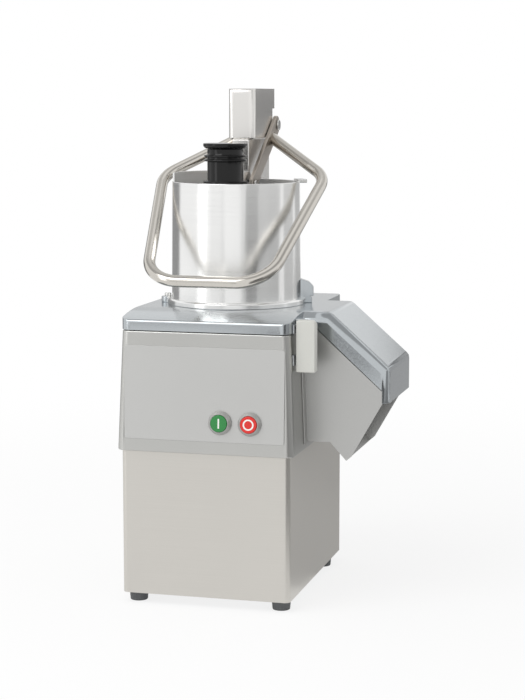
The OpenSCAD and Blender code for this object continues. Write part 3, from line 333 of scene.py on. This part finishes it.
def surface(name, tint, roughness, metallic, grain, tone, swing, depth, turned=False, **sockets):
    """Principled material whose tone, roughness and relief follow one grain.

    tint names the colour; grain is the grain's size in millimetres along x, y and z; tone and swing are
    how far colour and roughness wander; depth is the relief in metres. A turned surface spreads its
    highlights along its upright axis. What stays constant is set on the shader itself.
    """
    middle = getattr(bpy.context.scene.cutter_colours, tint)
    low, high = NOISE_RANGE
    material = bpy.data.materials.new(name)
    tree = bare_tree(material)
    place = add(tree, "ShaderNodeTexCoord").outputs["Object"]
    scaled = add(tree, "ShaderNodeMapping", {"Scale": [1 / (size * MM) for size in grain]}, {"Vector": place})
    fine = add(tree, "ShaderNodeTexNoise", {"Scale": 1.0, "Detail": 3.0, "Roughness": 0.6},
               {"Vector": scaled.outputs[0]})
    cloud = add(tree, "ShaderNodeTexNoise", {"Scale": 1 / (CLOUD * MM), "Detail": 2.0}, {"Vector": place})
    mixed = add(tree, "ShaderNodeMix", {"Factor": CLOUD_SHARE},
                {"A": fine.outputs["Fac"], "B": cloud.outputs["Fac"]}, data_type="FLOAT")
    ramp = add(tree, "ShaderNodeValToRGB", links={"Fac": mixed.outputs[0]})
    for end, position, factor in zip(ramp.color_ramp.elements, NOISE_RANGE, (1 - tone, 1 + tone)):
        end.position = position
        end.color = [min(1.0, c * factor) for c in middle[:3]] + [1.0]
    rough = add(tree, "ShaderNodeMapRange",
                {"From Min": low, "From Max": high, "To Min": roughness - swing, "To Max": roughness + swing},
                {"Value": mixed.outputs[0]})
    relief = add(tree, "ShaderNodeBump", {"Strength": 0.5, "Distance": depth},
                 {"Height": fine.outputs["Fac"]})
    shader = add(tree, "ShaderNodeBsdfPrincipled", {"Metallic": metallic, **sockets},
                 {"Base Color": ramp.outputs["Color"], "Roughness": rough.outputs[0],
                  "Normal": relief.outputs[0]})
    if turned:
        quarter_turn = 0.25
        shader.inputs["Anisotropic Rotation"].default_value = quarter_turn
        lines = add(tree, "ShaderNodeTangent", direction_type="RADIAL", axis="Z")
        tree.links.new(lines.outputs[0], shader.inputs["Tangent"])
    add(tree, "ShaderNodeOutputMaterial", links={"Surface": shader.outputs[0]})
    return material


RECIPES = {
    # Stainless sheet, belt-brushed along its length: fine level lines, drawn 1 mm apart so that they show
    "brushed stainless": dict(tint="base_steel", roughness=0.36, metallic=1.0,
                              grain=(167, 167, 1), tone=0.03, swing=0.05, depth=3e-6),
    # Stainless sheet, glass-blasted: even grey with a fine grit
    "satin stainless": dict(tint="chute_steel", roughness=0.38, metallic=1.0,
                            grain=(0.714,) * 3, tone=0.04, swing=0.04, depth=5e-6),
    # Cast aluminium, blasted and lacquered: soft sheen with a slightly coarser grit
    "blasted aluminium": dict(tint="housing", roughness=0.36, metallic=1.0,
                              grain=(0.833,) * 3, tone=0.03, swing=0.04, depth=6e-6),
    # Aluminium, tumbled and anodised: smooth and bright, with faint clouding
    "bright aluminium": dict(tint="lid", roughness=0.16, metallic=1.0,
                             grain=(3.33,) * 3, tone=0.03, swing=0.04, depth=2e-6),
    # Spun aluminium, polished: near mirror with faint rings, drawn 1 mm apart so that they show
    "polished aluminium": dict(tint="hopper", roughness=0.24, metallic=1.0,
                               grain=(125, 125, 1), tone=0.03, swing=0.03, depth=1e-6,
                               turned=True, Anisotropic=0.8),
    # Spun aluminium, left as it came off the tool: dull, with coarser rings
    "spun aluminium": dict(tint="hopper", roughness=0.5, metallic=0.75,
                           grain=(100, 100, 1.43), tone=0.05, swing=0.05, depth=4e-6),
    # Cast aluminium, linished: pale and soft
    "linished aluminium": dict(tint="head", roughness=0.24, metallic=1.0,
                               grain=(1.11,) * 3, tone=0.03, swing=0.04, depth=3e-6),
    # Drawn stainless tube, scrubbed: bright, with faint scuffs
    "scrubbed stainless": dict(tint="handle", roughness=0.15, metallic=1.0,
                               grain=(2,) * 3, tone=0.05, swing=0.05, depth=3e-6),
    # Stainless plate, hot rolled and pickled: dull and brownish
    "pickled stainless": dict(tint="arm", roughness=0.36, metallic=1.0,
                              grain=(1.67,) * 3, tone=0.06, swing=0.06, depth=5e-6),
    # Ground steel: bright with fine lines
    "ground steel": dict(tint="bright", roughness=0.24, metallic=1.0,
                         grain=(5, 5, 0.667), tone=0.04, swing=0.05, depth=2e-6),
    # Zinc-plated steel: bluish with a faint spangle
    "zinc plate": dict(tint="zinc", roughness=0.38, metallic=1.0,
                       grain=(3.125,) * 3, tone=0.07, swing=0.06, depth=2e-6),
    # Polyester film with a silver print: satin, without lines
    "silver film": dict(tint="panel", roughness=0.4, metallic=0.85,
                        grain=(0.625,) * 3, tone=0.02, swing=0.03, depth=2e-6),
    # Black polypropylene, moulded: glossy with a fine orange peel
    "black plastic": dict(tint="black", roughness=0.1, metallic=0.0,
                          grain=(1.54,) * 3, tone=0.12, swing=0.03, depth=2e-6, IOR=1.38),
    # Grey ABS, moulded and metal-coated: soft silvery sheen
    "grey plastic": dict(tint="bezel", roughness=0.32, metallic=0.35,
                         grain=(1.11,) * 3, tone=0.04, swing=0.05, depth=4e-6, IOR=1.53),
    # Cream acetal, moulded: waxy satin
    "cream plastic": dict(tint="latch", roughness=0.42, metallic=0.0,
                          grain=(1.43,) * 3, tone=0.025, swing=0.05, depth=5e-6, IOR=1.48),
    # Green polycarbonate lens, moulded: clear colour with a sharp highlight
    "green lens": dict(tint="green", roughness=0.22, metallic=0.0,
                       grain=(2,) * 3, tone=0.08, swing=0.04, depth=3e-6, IOR=1.58),
    # Red polycarbonate lens, moulded: clear colour with a sharp highlight
    "red lens": dict(tint="red", roughness=0.22, metallic=0.0,
                     grain=(2,) * 3, tone=0.06, swing=0.04, depth=3e-6, IOR=1.58),
    # White pad print: flat and matt
    "white print": dict(tint="mark", roughness=0.45, metallic=0.0,
                        grain=(0.667,) * 3, tone=0.02, swing=0.04, depth=2e-6, IOR=1.5),
    # Moulded rubber: matt with a coarse grit
    "grey rubber": dict(tint="rubber", roughness=0.7, metallic=0.0,
                        grain=(1,) * 3, tone=0.1, swing=0.08, depth=1.5e-5, IOR=1.52),
    # Sprayed enamel: even grey with a slight orange peel
    "motor enamel": dict(tint="motor", roughness=0.4, metallic=0.0,
                         grain=(1.25,) * 3, tone=0.05, swing=0.06, depth=6e-6, IOR=1.5),
}

# Finishes made so far
MADE = {}


def finish_of(key):
    """Material for a finish, made once and named for it."""
    if key not in MADE:
        MADE[key] = surface(title(key), **RECIPES[key])
    return MADE[key]


# Pieces


def finished(piece, body, finish, slot, *replaced):
    """Gives a piece its finish and body, and hides the CAD nodes that it stands for."""
    piece.data.materials.clear()
    piece.data.materials.append(finish_of(finish))
    smooth(piece.data)
    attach(piece, body)
    if replaced:
        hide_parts(*replaced)
    return piece


def dressed(node, finish):
    """Gives a CAD node that stays as it is its finish."""
    mesh = NODES[node].data
    mesh.materials.clear()
    mesh.materials.append(finish_of(finish))


def soft_node(node, body, finish, slot, edge_mm, rims=False):
    """Piece that stands for a CAD node, with its edges or only its rims rounded by so many millimetres."""
    mesh = softened(node, edge_mm * MM, rims)
    piece = finished(new_piece(title(node), mesh), body, finish, slot, node)
    weigh = piece.modifiers.new("Weigh normals", "WEIGHTED_NORMAL")
    weigh.keep_sharp = True
    return piece


# Screws


# Heights of the screw heads, each half as high as it is wide
FOOT_HEAD = 4.2 * MM
CAP_HEAD = 4.5 * MM


def screw_template():
    """Socket-head cap screw of unit head radius, its seat at the origin."""
    mouth, socket, floor, point = 0.62, 0.55, 0.42, 0.36
    head = rounded([(0.0, 0.0, 0), (1.0, 0.0, 0.06), (1.0, 1.0, 0.14),
                    (mouth, 1.0, 0.03), (socket, floor, 0), (0.0, point, 0)], steps=4)
    return lathe("ScrewTemplate", head, segments=36)


def screw_tree(template, material):
    """Geometry nodes that set a screw on each point, at the size of its head."""
    tree = bpy.data.node_groups.new("Screws", "GeometryNodeTree")
    tree.interface.new_socket("Geometry", in_out="INPUT", socket_type="NodeSocketGeometry")
    tree.interface.new_socket("Head radius", in_out="INPUT", socket_type="NodeSocketFloat")
    tree.interface.new_socket("Geometry", in_out="OUTPUT", socket_type="NodeSocketGeometry")
    start = add(tree, "NodeGroupInput")
    shape = add(tree, "GeometryNodeObjectInfo", {"Object": template})
    placed = add(tree, "GeometryNodeInstanceOnPoints", links={
        "Points": start.outputs["Geometry"], "Instance": shape.outputs["Geometry"],
        "Scale": start.outputs["Head radius"]})
    real = add(tree, "GeometryNodeRealizeInstances", links={"Geometry": placed.outputs[0]})
    coated = add(tree, "GeometryNodeSetMaterial", {"Material": material}, {"Geometry": real.outputs[0]})
    add(tree, "NodeGroupOutput", links={"Geometry": coated.outputs[0]})
    return tree


def loose_parts(node):
    """Boxes of the separate solids in a node."""
    bm = bmesh.new()
    bm.from_mesh(NODES[node].data)
    bmesh.ops.remove_doubles(bm, verts=bm.verts, dist=MERGE)
    known, boxes = set(), []
    for start in bm.verts:
        if start in known:
            continue
        known.add(start)
        todo, part = [start], []
        while todo:
            v = todo.pop()
            part.append(v.co.copy())
            beside = [other for other in (e.other_vert(v) for e in v.link_edges) if other not in known]
            known.update(beside)
            todo += beside
        boxes.append((Vector(map(min, *part)), Vector(map(max, *part))))
    bm.free()
    return boxes


def screws_on(node, body, head_height):
    """Detailed screws in place of a node's plain ones."""
    name = title(node)
    boxes = loose_parts(node)
    points = [((a.x + b.x) / 2, (a.y + b.y) / 2, b.z - head_height) for a, b in boxes]
    template = new_piece("ScrewTemplate", screw_template())
    carrier = new_piece(name + "Points", mesh_from(name + "Points", points, []))
    tree = screw_tree(template, finish_of("ground steel"))
    modifier = carrier.modifiers.new("Screws", "NODES")
    modifier.node_group = tree
    sockets = {s.name: s.identifier for s in tree.interface.items_tree if s.in_out == "INPUT"}
    modifier[sockets["Head radius"]] = head_height
    bpy.context.view_layer.update()
    evaluated = carrier.evaluated_get(bpy.context.evaluated_depsgraph_get())
    mesh = bpy.data.meshes.new_from_object(evaluated)
    mesh.name = name
    for spare in (carrier, template):
        bpy.data.objects.remove(spare)
    outward(mesh)
    return finished(new_piece(name, mesh), body, "ground steel", "bright_steel", node)


# Operators


class CUTTER_OT_stage(bpy.types.Operator):
    """Floor, studio light and camera"""

    bl_idname = "cutter.stage"
    bl_label = "Studio"

    # The camera's place from the middle of the base's front, its turns in degrees, its lens in millimetres
    camera_from_base = Vector((0.69369, -2.30890, 0.67659))
    camera_down = 7.75
    camera_turn = 14.89
    focal_length = 95.14

    # Tone of the room's light on the machine, and half the floor's width
    room_tone = 0.72
    floor_reach = 30.0

    # Soft boxes: a tall one at the left front and a wide one overhead, as place, width, height and watts
    lamp_aim = Vector((0, 0, 0.4))
    lamps = (
        ("StripLamp", Vector((-1.65, -1.5, 0.95)), 0.6, 1.7, 3.4),
        ("TopLamp", Vector((-1.0, -1.5, 2.5)), 2.0, 2.0, 32.0),
    )

    # Glowing cards round the machine, seen only in mirrored rays, which paint darker and lighter reflection
    # bands onto its metals: the directions where a card starts and ends, in degrees from the front to the
    # right, its two edges as distance and height, and its tone
    cards = (
        ("FrontCard", -33, -9, (2.2, 0.2), (2.2, 0.5), 0.72),
        ("LowCard", -13, -6, (2.1, 0.0), (2.1, 0.17), 0.18),
        ("EdgeCard", 22, 30, (2.0, 0.0), (2.0, 0.5), 0.7),
        ("DarkCard", 30, 53, (2.0, 0.0), (2.0, 0.56), 0.15),
        ("RightCard", 53, 73, (2.0, 0.0), (2.0, 0.56), 0.47),
        ("RightDarkCard", 73, 98, (2.0, 0.0), (2.0, 0.56), 0.42),
        ("RightBackCard", 108, 138, (1.6, 0.0), (1.6, 0.56), 0.5),
        ("CeilingCard", -110, 110, (0.8, 2.7), (2.8, 2.7), 0.5),
        ("RearCeilingCard", 110, 250, (0.8, 2.7), (2.8, 2.7), 0.72),
        # The two flat sheets on the floor are no mats: they paint a darker floor into the reflections of the
        # lower metals
        ("RightMat", 24, 125, (0.5, 0.002), (2.0, 0.002), 0.25),
        ("SideMat", 70, 184, (0.08, 0.002), (0.62, 0.002), 0.5),
        ("SideCard", 138, 184, (0.62, 0.002), (0.62, 0.4), 0.44),
        ("BackCard", 146, 178, (2.2, 0.0), (2.2, 0.57), 0.52),
        ("BackDarkCard", 146, 178, (2.2, 0.57), (2.2, 0.75), 0.18),
        ("LeftBackCard", -152, -104, (1.4, 0.0), (1.4, 0.8), 0.3),
        ("BackLeftCard", -177, -152, (1.4, 0.0), (1.4, 0.9), 0.74),
    )

    def execute(self, context):
        scene = context.scene
        scene.view_settings.view_transform = "Standard"
        self.floor(scene)
        self.world(scene)
        for card in self.cards:
            self.card(*card)
        for lamp in self.lamps:
            self.lamp(scene, *lamp)
        self.camera(scene)
        return {"FINISHED"}

    def card(self, name, start, end, low, high, tone):
        """Curved glowing card that only mirrored rays see, which paints a reflection band of its tone onto
        the metals.
        """
        verts, steps = [], 12
        for i in range(steps + 1):
            turn = math.radians(start + (end - start) * i / steps)
            out = Vector((math.sin(turn), -math.cos(turn), 0))
            verts += [out * distance + UP * height for distance, height in (low, high)]
        mesh = mesh_from(name, verts, [[2 * i, 2 * i + 2, 2 * i + 3, 2 * i + 1] for i in range(steps)])
        material = bpy.data.materials.new(name)
        tree = bare_tree(material)
        glow = add(tree, "ShaderNodeEmission", {"Color": (tone, tone, tone, 1.0), "Strength": 1.0})
        add(tree, "ShaderNodeOutputMaterial", links={"Surface": glow.outputs[0]})
        mesh.materials.append(material)
        card = new_piece(name, mesh)
        card.visible_camera = card.visible_diffuse = card.visible_shadow = False

    def seen(self, tree):
        """1 for what the eye sees directly, mirrored or through glass."""
        rays = add(tree, "ShaderNodeLightPath")
        mirrored = add(tree, "ShaderNodeMath", links={
            0: rays.outputs["Is Camera Ray"], 1: rays.outputs["Is Glossy Ray"]}, operation="MAXIMUM")
        return add(tree, "ShaderNodeMath", links={
            0: mirrored.outputs[0], 1: rays.outputs["Is Transmission Ray"]}, operation="MAXIMUM").outputs[0]

    def floor(self, scene):
        """Pale floor that fades to white and keeps the machine's shadow."""
        far = self.floor_reach
        corners = [(-far, -far, 0), (far, -far, 0), (far, far, 0), (-far, far, 0)]
        mesh = mesh_from("Floor", corners, [[0, 1, 2, 3]])
        floor = new_piece("Floor", mesh)
        material = bpy.data.materials.new("PaleFloor")
        tree = bare_tree(material)
        place = add(tree, "ShaderNodeTexCoord").outputs["Object"]
        away = add(tree, "ShaderNodeVectorMath", links={0: place}, operation="LENGTH").outputs["Value"]
        fade = add(tree, "ShaderNodeMapRange",
                   {"From Min": 0.3, "From Max": 1.8, "To Min": 0.8, "To Max": 1.0},
                   {"Value": away}, interpolation_type="SMOOTHSTEP")
        share = add(tree, "ShaderNodeMath", links={0: self.seen(tree), 1: fade.outputs[0]},
                    operation="MULTIPLY")
        paint = add(tree, "ShaderNodeBsdfDiffuse", {"Color": scene.cutter_colours.floor})
        glow = add(tree, "ShaderNodeEmission", {"Color": (1, 1, 1, 1), "Strength": 1.0})
        mixed = add(tree, "ShaderNodeMixShader", links={
            0: share.outputs[0], 1: paint.outputs[0], 2: glow.outputs[0]})
        add(tree, "ShaderNodeOutputMaterial", links={"Surface": mixed.outputs[0]})
        mesh.materials.append(material)

    def world(self, scene):
        """White room whose light falls on the machine at a plain level."""
        world = bpy.data.worlds.new("Studio")
        scene.world = world
        tree = bare_tree(world)
        plain = self.room_tone
        tone = add(tree, "ShaderNodeMix", {"A": (plain, plain, plain, 1.0), "B": (1.0, 1.0, 1.0, 1.0)},
                   {"Factor": self.seen(tree)}, data_type="RGBA")
        light = add(tree, "ShaderNodeBackground", {"Strength": 1.0}, {"Color": tone.outputs["Result"]})
        add(tree, "ShaderNodeOutputWorld", links={"Surface": light.outputs[0]})

    def lamp(self, scene, name, place, wide, tall, power):
        """Soft box that shines at the middle of the machine."""
        lamp = bpy.data.lights.new(name, "AREA")
        lamp.shape = "RECTANGLE"
        lamp.energy, lamp.size, lamp.size_y = power, wide, tall
        holder = bpy.data.objects.new(name, lamp)
        holder.location = place
        holder.rotation_euler = (self.lamp_aim - place).to_track_quat("-Z", "Y").to_euler()
        scene.collection.objects.link(holder)

    def camera(self, scene):
        """Camera at the photograph's viewing angle."""
        lens = bpy.data.cameras.new("Camera")
        lens.lens, lens.sensor_width = self.focal_length, 36.0
        lens.clip_end = 2 * self.floor_reach
        camera = bpy.data.objects.new("Camera", lens)
        low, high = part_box("base_shell")
        camera.location = Vector(((low.x + high.x) / 2, low.y, 0)) + self.camera_from_base
        camera.rotation_euler = (math.radians(90 - self.camera_down), 0, math.radians(self.camera_turn))
        scene.collection.objects.link(camera)
        scene.camera = camera


class CUTTER_OT_base(bpy.types.Operator):
    """Sheet-steel base, its plate, feet and cable gland"""

    bl_idname = "cutter.base"
    bl_label = "Base"

    def execute(self, context):
        soft_node("base_shell", "base", "brushed stainless", "brushed_stainless", edge_mm=0.5)
        soft_node("base_plate", "base", "zinc plate", "zinc_steel", edge_mm=0.4)
        soft_node("feet", "base", "grey rubber", "grey_rubber", edge_mm=1.2)
        soft_node("cable_gland", "base", "black plastic", "black_plastic", edge_mm=0.8)
        screws_on("foot_screws", "base", FOOT_HEAD)
        return {"FINISHED"}


class CUTTER_OT_housing(bpy.types.Operator):
    """Cast upper housing with its front panel"""

    bl_idname = "cutter.housing"
    bl_label = "Housing"

    def execute(self, context):
        soft_node("upper_housing", "base", "blasted aluminium", "satin_aluminium", edge_mm=1.6, rims=True)
        soft_node("front_panel", "base", "silver film", "panel_foil", edge_mm=0.3)
        soft_node("latch_catch", "base", "zinc plate", "zinc_steel", edge_mm=0.5)
        return {"FINISHED"}


class CUTTER_OT_buttons(bpy.types.Operator):
    """Start and stop buttons with their rings and marks"""

    bl_idname = "cutter.buttons"
    bl_label = "Buttons"

    def execute(self, context):
        sizes = context.scene.cutter_sizes
        for side, finish, slot, mark in (
            ("start", "green lens", "green_plastic", self.bar),
            ("stop", "red lens", "red_plastic", self.ring),
        ):
            button = side + "_button"
            soft_node(side + "_bezel", "base", "grey plastic", "grey_plastic", edge_mm=0.35)
            soft_node(button, button, finish, slot, edge_mm=0.9)
            dressed(side + "_switch", "black plastic")
            mesh = mark(title(side + "_mark"), sizes)
            mesh.transform(self.face_of(button))
            finished(new_piece(mesh.name, mesh), button, "white print", slot)
        return {"FINISHED"}

    def face_of(self, node):
        """Frame on a button's outer face, z outwards and y up it."""
        level = 0.01 * MM
        points = [v.co for v in NODES[node].data.vertices]
        press = next(Vector(j["axis"]) for j in frame["joints"] if j["child"] == node)
        out = -press.normalized()
        top = max(p.dot(out) for p in points)
        rim = [p for p in points if p.dot(out) > top - level]
        low, high = Vector(map(min, *rim)), Vector(map(max, *rim))
        side = UP.cross(out).normalized()
        turned = Matrix((side, out.cross(side), out)).transposed().to_4x4()
        turned.translation = (low + high) / 2
        return turned

    def bar(self, name, sizes):
        """Upright bar with rounded ends, which means start."""
        half, wide = sizes.mark_bar / 2, sizes.mark_line / 2
        corner = 0.4 * wide
        corners = [(-wide, -half), (wide, -half), (wide, half), (-wide, half)]
        outline = rounded([(x, y, corner) for x, y in corners], steps=3)
        return prism(name, outline, sizes.mark_proud)

    def ring(self, name, sizes):
        """Ring, which means stop."""
        outer, proud = sizes.mark_ring, sizes.mark_proud
        inner = outer - sizes.mark_line
        return lathe(name, [(inner, 0), (outer, 0), (outer, proud), (inner, proud)], segments=48)


class CUTTER_OT_lid(bpy.types.Operator):
    """Hinged lid with its chute cover, seal and hinge"""

    bl_idname = "cutter.lid"
    bl_label = "Lid"

    def execute(self, context):
        soft_node("lid", "lid", "bright aluminium", "satin_aluminium", edge_mm=0.7)
        dressed("lid_seal", "grey rubber")
        soft_node("hinge_brackets", "base", "zinc plate", "zinc_steel", edge_mm=0.5)
        soft_node("hinge_pins", "base", "ground steel", "bright_steel", edge_mm=0.5)
        return {"FINISHED"}


class CUTTER_OT_hopper(bpy.types.Operator):
    """Polished hopper drum with its ring, raised lip, tab, ears and lug"""

    bl_idname = "cutter.hopper"
    bl_label = "Hopper"

    # Past this height over the hopper's foot, the castings reach this far in from the ring's edge
    ring_height = 8.5 * MM
    casting_depth = 4 * MM
    # Part of a normal that points along the radius: at least this on a turned wall, and on the inside
    turned_wall = 0.995
    inside_wall = 0.5

    def execute(self, context):
        drum = soft_node("hopper", "lid", "polished aluminium", "polished_aluminium", edge_mm=0.7)
        low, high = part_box("spindle")
        axis = ((low + high) / 2).to_2d()
        self.dull_castings(drum.data, axis, context.scene.cutter_sizes.ring_radius)
        self.even_walls(drum.data, axis)
        screws_on("hopper_screws", "lid", CAP_HEAD)
        return {"FINISHED"}

    def dull_castings(self, mesh, axis, ring_radius):
        """Leaves the ears and the lug, which stand out from the ring, as cast, and the inside as spun."""
        mesh.materials.append(finish_of("bright aluminium"))
        mesh.materials.append(finish_of("spun aluminium"))
        cast, spun = 1, 2
        ring_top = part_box("hopper")[0].z + self.ring_height
        for face in mesh.polygons:
            away = face.center.to_2d() - axis
            above_ring = face.center.z > ring_top and away.length > ring_radius - self.casting_depth
            if away.length > ring_radius or above_ring:
                face.material_index = cast
            elif away.dot(face.normal.to_2d()) < -self.inside_wall * away.length:
                face.material_index = spun

    def even_walls(self, mesh, axis):
        """Shades the turned walls as straight out from their axis, so that mirrored light runs evenly."""
        normals = [corner.vector.copy() for corner in mesh.corner_normals]
        for face in mesh.polygons:
            facing = (face.center.to_2d() - axis).normalized().dot(face.normal.to_2d())
            if abs(facing) < self.turned_wall:
                continue
            for corner in face.loop_indices:
                point = mesh.vertices[mesh.loops[corner].vertex_index].co.to_2d()
                away = (point - axis).normalized() * facing
                normals[corner] = Vector((away.x, away.y, face.normal.z)).normalized()
        mesh.normals_split_custom_set(normals)


class CUTTER_OT_column(bpy.types.Operator):
    """Column, head and pivot pin behind the hopper"""

    bl_idname = "cutter.column"
    bl_label = "Column"

    def execute(self, context):
        soft_node("column_post", "lid", "linished aluminium", "satin_aluminium", edge_mm=1.6)
        soft_node("column_head", "lid", "linished aluminium", "satin_aluminium", edge_mm=2.4, rims=True)
        soft_node("pivot_pin", "lid", "ground steel", "bright_steel", edge_mm=0.8)
        screws_on("column_screws", "lid", CAP_HEAD)
        return {"FINISHED"}


class CUTTER_OT_lever(bpy.types.Operator):
    """Lever arms with the bent handle tube"""

    bl_idname = "cutter.lever"
    bl_label = "Lever"

    def execute(self, context):
        soft_node("lever_arms", "lever", "pickled stainless", "warm_stainless", edge_mm=0.8)
        # The tube is round already, and its ends stay square
        soft_node("lever_tube", "lever", "scrubbed stainless", "warm_stainless", edge_mm=0.02)
        soft_node("pusher_pin", "lever", "ground steel", "bright_steel", edge_mm=0.8)
        return {"FINISHED"}


class CUTTER_OT_pushers(bpy.types.Operator):
    """Hopper pusher, its stem, and the black feed tubes"""

    bl_idname = "cutter.pushers"
    bl_label = "Pushers"

    def execute(self, context):
        soft_node("pusher_plate", "pusher", "polished aluminium", "polished_aluminium", edge_mm=1.2)
        soft_node("pusher_stem", "pusher", "polished aluminium", "polished_aluminium", edge_mm=0.6)
        soft_node("tube_sleeve", "pusher", "black plastic", "black_plastic", edge_mm=0.6)
        soft_node("tube_pusher", "tube_pusher", "black plastic", "black_plastic", edge_mm=1.4)
        soft_node("inner_pusher", "inner_pusher", "black plastic", "black_plastic", edge_mm=1.2)
        return {"FINISHED"}


class CUTTER_OT_chute(bpy.types.Operator):
    """Sheet chute at the machine's right"""

    bl_idname = "cutter.chute"
    bl_label = "Chute"

    def execute(self, context):
        soft_node("chute", "base", "satin stainless", "brushed_stainless", edge_mm=0.3)
        return {"FINISHED"}


class CUTTER_OT_latch(bpy.types.Operator):
    """Lid latch with its bracket and pin"""

    bl_idname = "cutter.latch"
    bl_label = "Latch"

    def execute(self, context):
        soft_node("latch_handle", "latch", "cream plastic", "light_plastic", edge_mm=1.6)
        soft_node("latch_bracket", "lid", "zinc plate", "zinc_steel", edge_mm=0.7)
        dressed("latch_pin", "ground steel")
        return {"FINISHED"}


class CUTTER_OT_inside(bpy.types.Operator):
    """Drive, bowl and cutting disc inside the machine"""

    bl_idname = "cutter.inside"
    bl_label = "Inside"

    def execute(self, context):
        for finish, nodes in (
            ("ground steel", ("spindle", "motor_shaft", "upper_bearing", "lower_bearing", "disc_blades")),
            ("blasted aluminium", ("cutting_bowl", "bearing_housing", "motor_pulley", "drive_pulley")),
            ("satin stainless", ("slicing_disc",)),
            ("cream plastic", ("ejector_plate", "control_box", "capacitor")),
            ("black plastic", ("disc_knob",)),
            ("grey rubber", ("drive_belt", "shaft_seal")),
            ("zinc plate", ("motor_mount",)),
            ("motor enamel", ("motor",)),
        ):
            for node in nodes:
                dressed(node, finish)
        return {"FINISHED"}


OPERATORS = (
    CUTTER_OT_stage, CUTTER_OT_base, CUTTER_OT_housing, CUTTER_OT_buttons, CUTTER_OT_lid, CUTTER_OT_hopper,
    CUTTER_OT_column, CUTTER_OT_lever, CUTTER_OT_pushers, CUTTER_OT_chute, CUTTER_OT_latch, CUTTER_OT_inside,
)


class CUTTER_PT_panel(bpy.types.Panel):
    """Pieces, sizes and colours of the cutting machine"""

    bl_idname = "CUTTER_PT_panel"
    bl_label = "Vegetable cutter"
    bl_space_type = "VIEW_3D"
    bl_region_type = "UI"
    bl_category = "Cutter"

    def draw(self, context):
        for operator in OPERATORS:
            self.layout.operator(operator.bl_idname)
        for group in (context.scene.cutter_sizes, context.scene.cutter_colours):
            box = self.layout.box()
            for key in group.__annotations__:
                box.prop(group, key)


CLASSES = (CutterColours, CutterSizes, *OPERATORS, CUTTER_PT_panel)


def register():
    for cls in CLASSES:
        bpy.utils.register_class(cls)
    bpy.types.Scene.cutter_colours = PointerProperty(type=CutterColours)
    bpy.types.Scene.cutter_sizes = PointerProperty(type=CutterSizes)


def unregister():
    del bpy.types.Scene.cutter_sizes
    del bpy.types.Scene.cutter_colours
    for cls in reversed(CLASSES):
        bpy.utils.unregister_class(cls)


def main():
    register()
    bpy.ops.cutter.stage()
    bpy.ops.cutter.base()
    bpy.ops.cutter.housing()
    bpy.ops.cutter.buttons()
    bpy.ops.cutter.lid()
    bpy.ops.cutter.hopper()
    bpy.ops.cutter.column()
    bpy.ops.cutter.lever()
    bpy.ops.cutter.pushers()
    bpy.ops.cutter.chute()
    bpy.ops.cutter.latch()
    bpy.ops.cutter.inside()


if __name__ == "__main__":
    main()
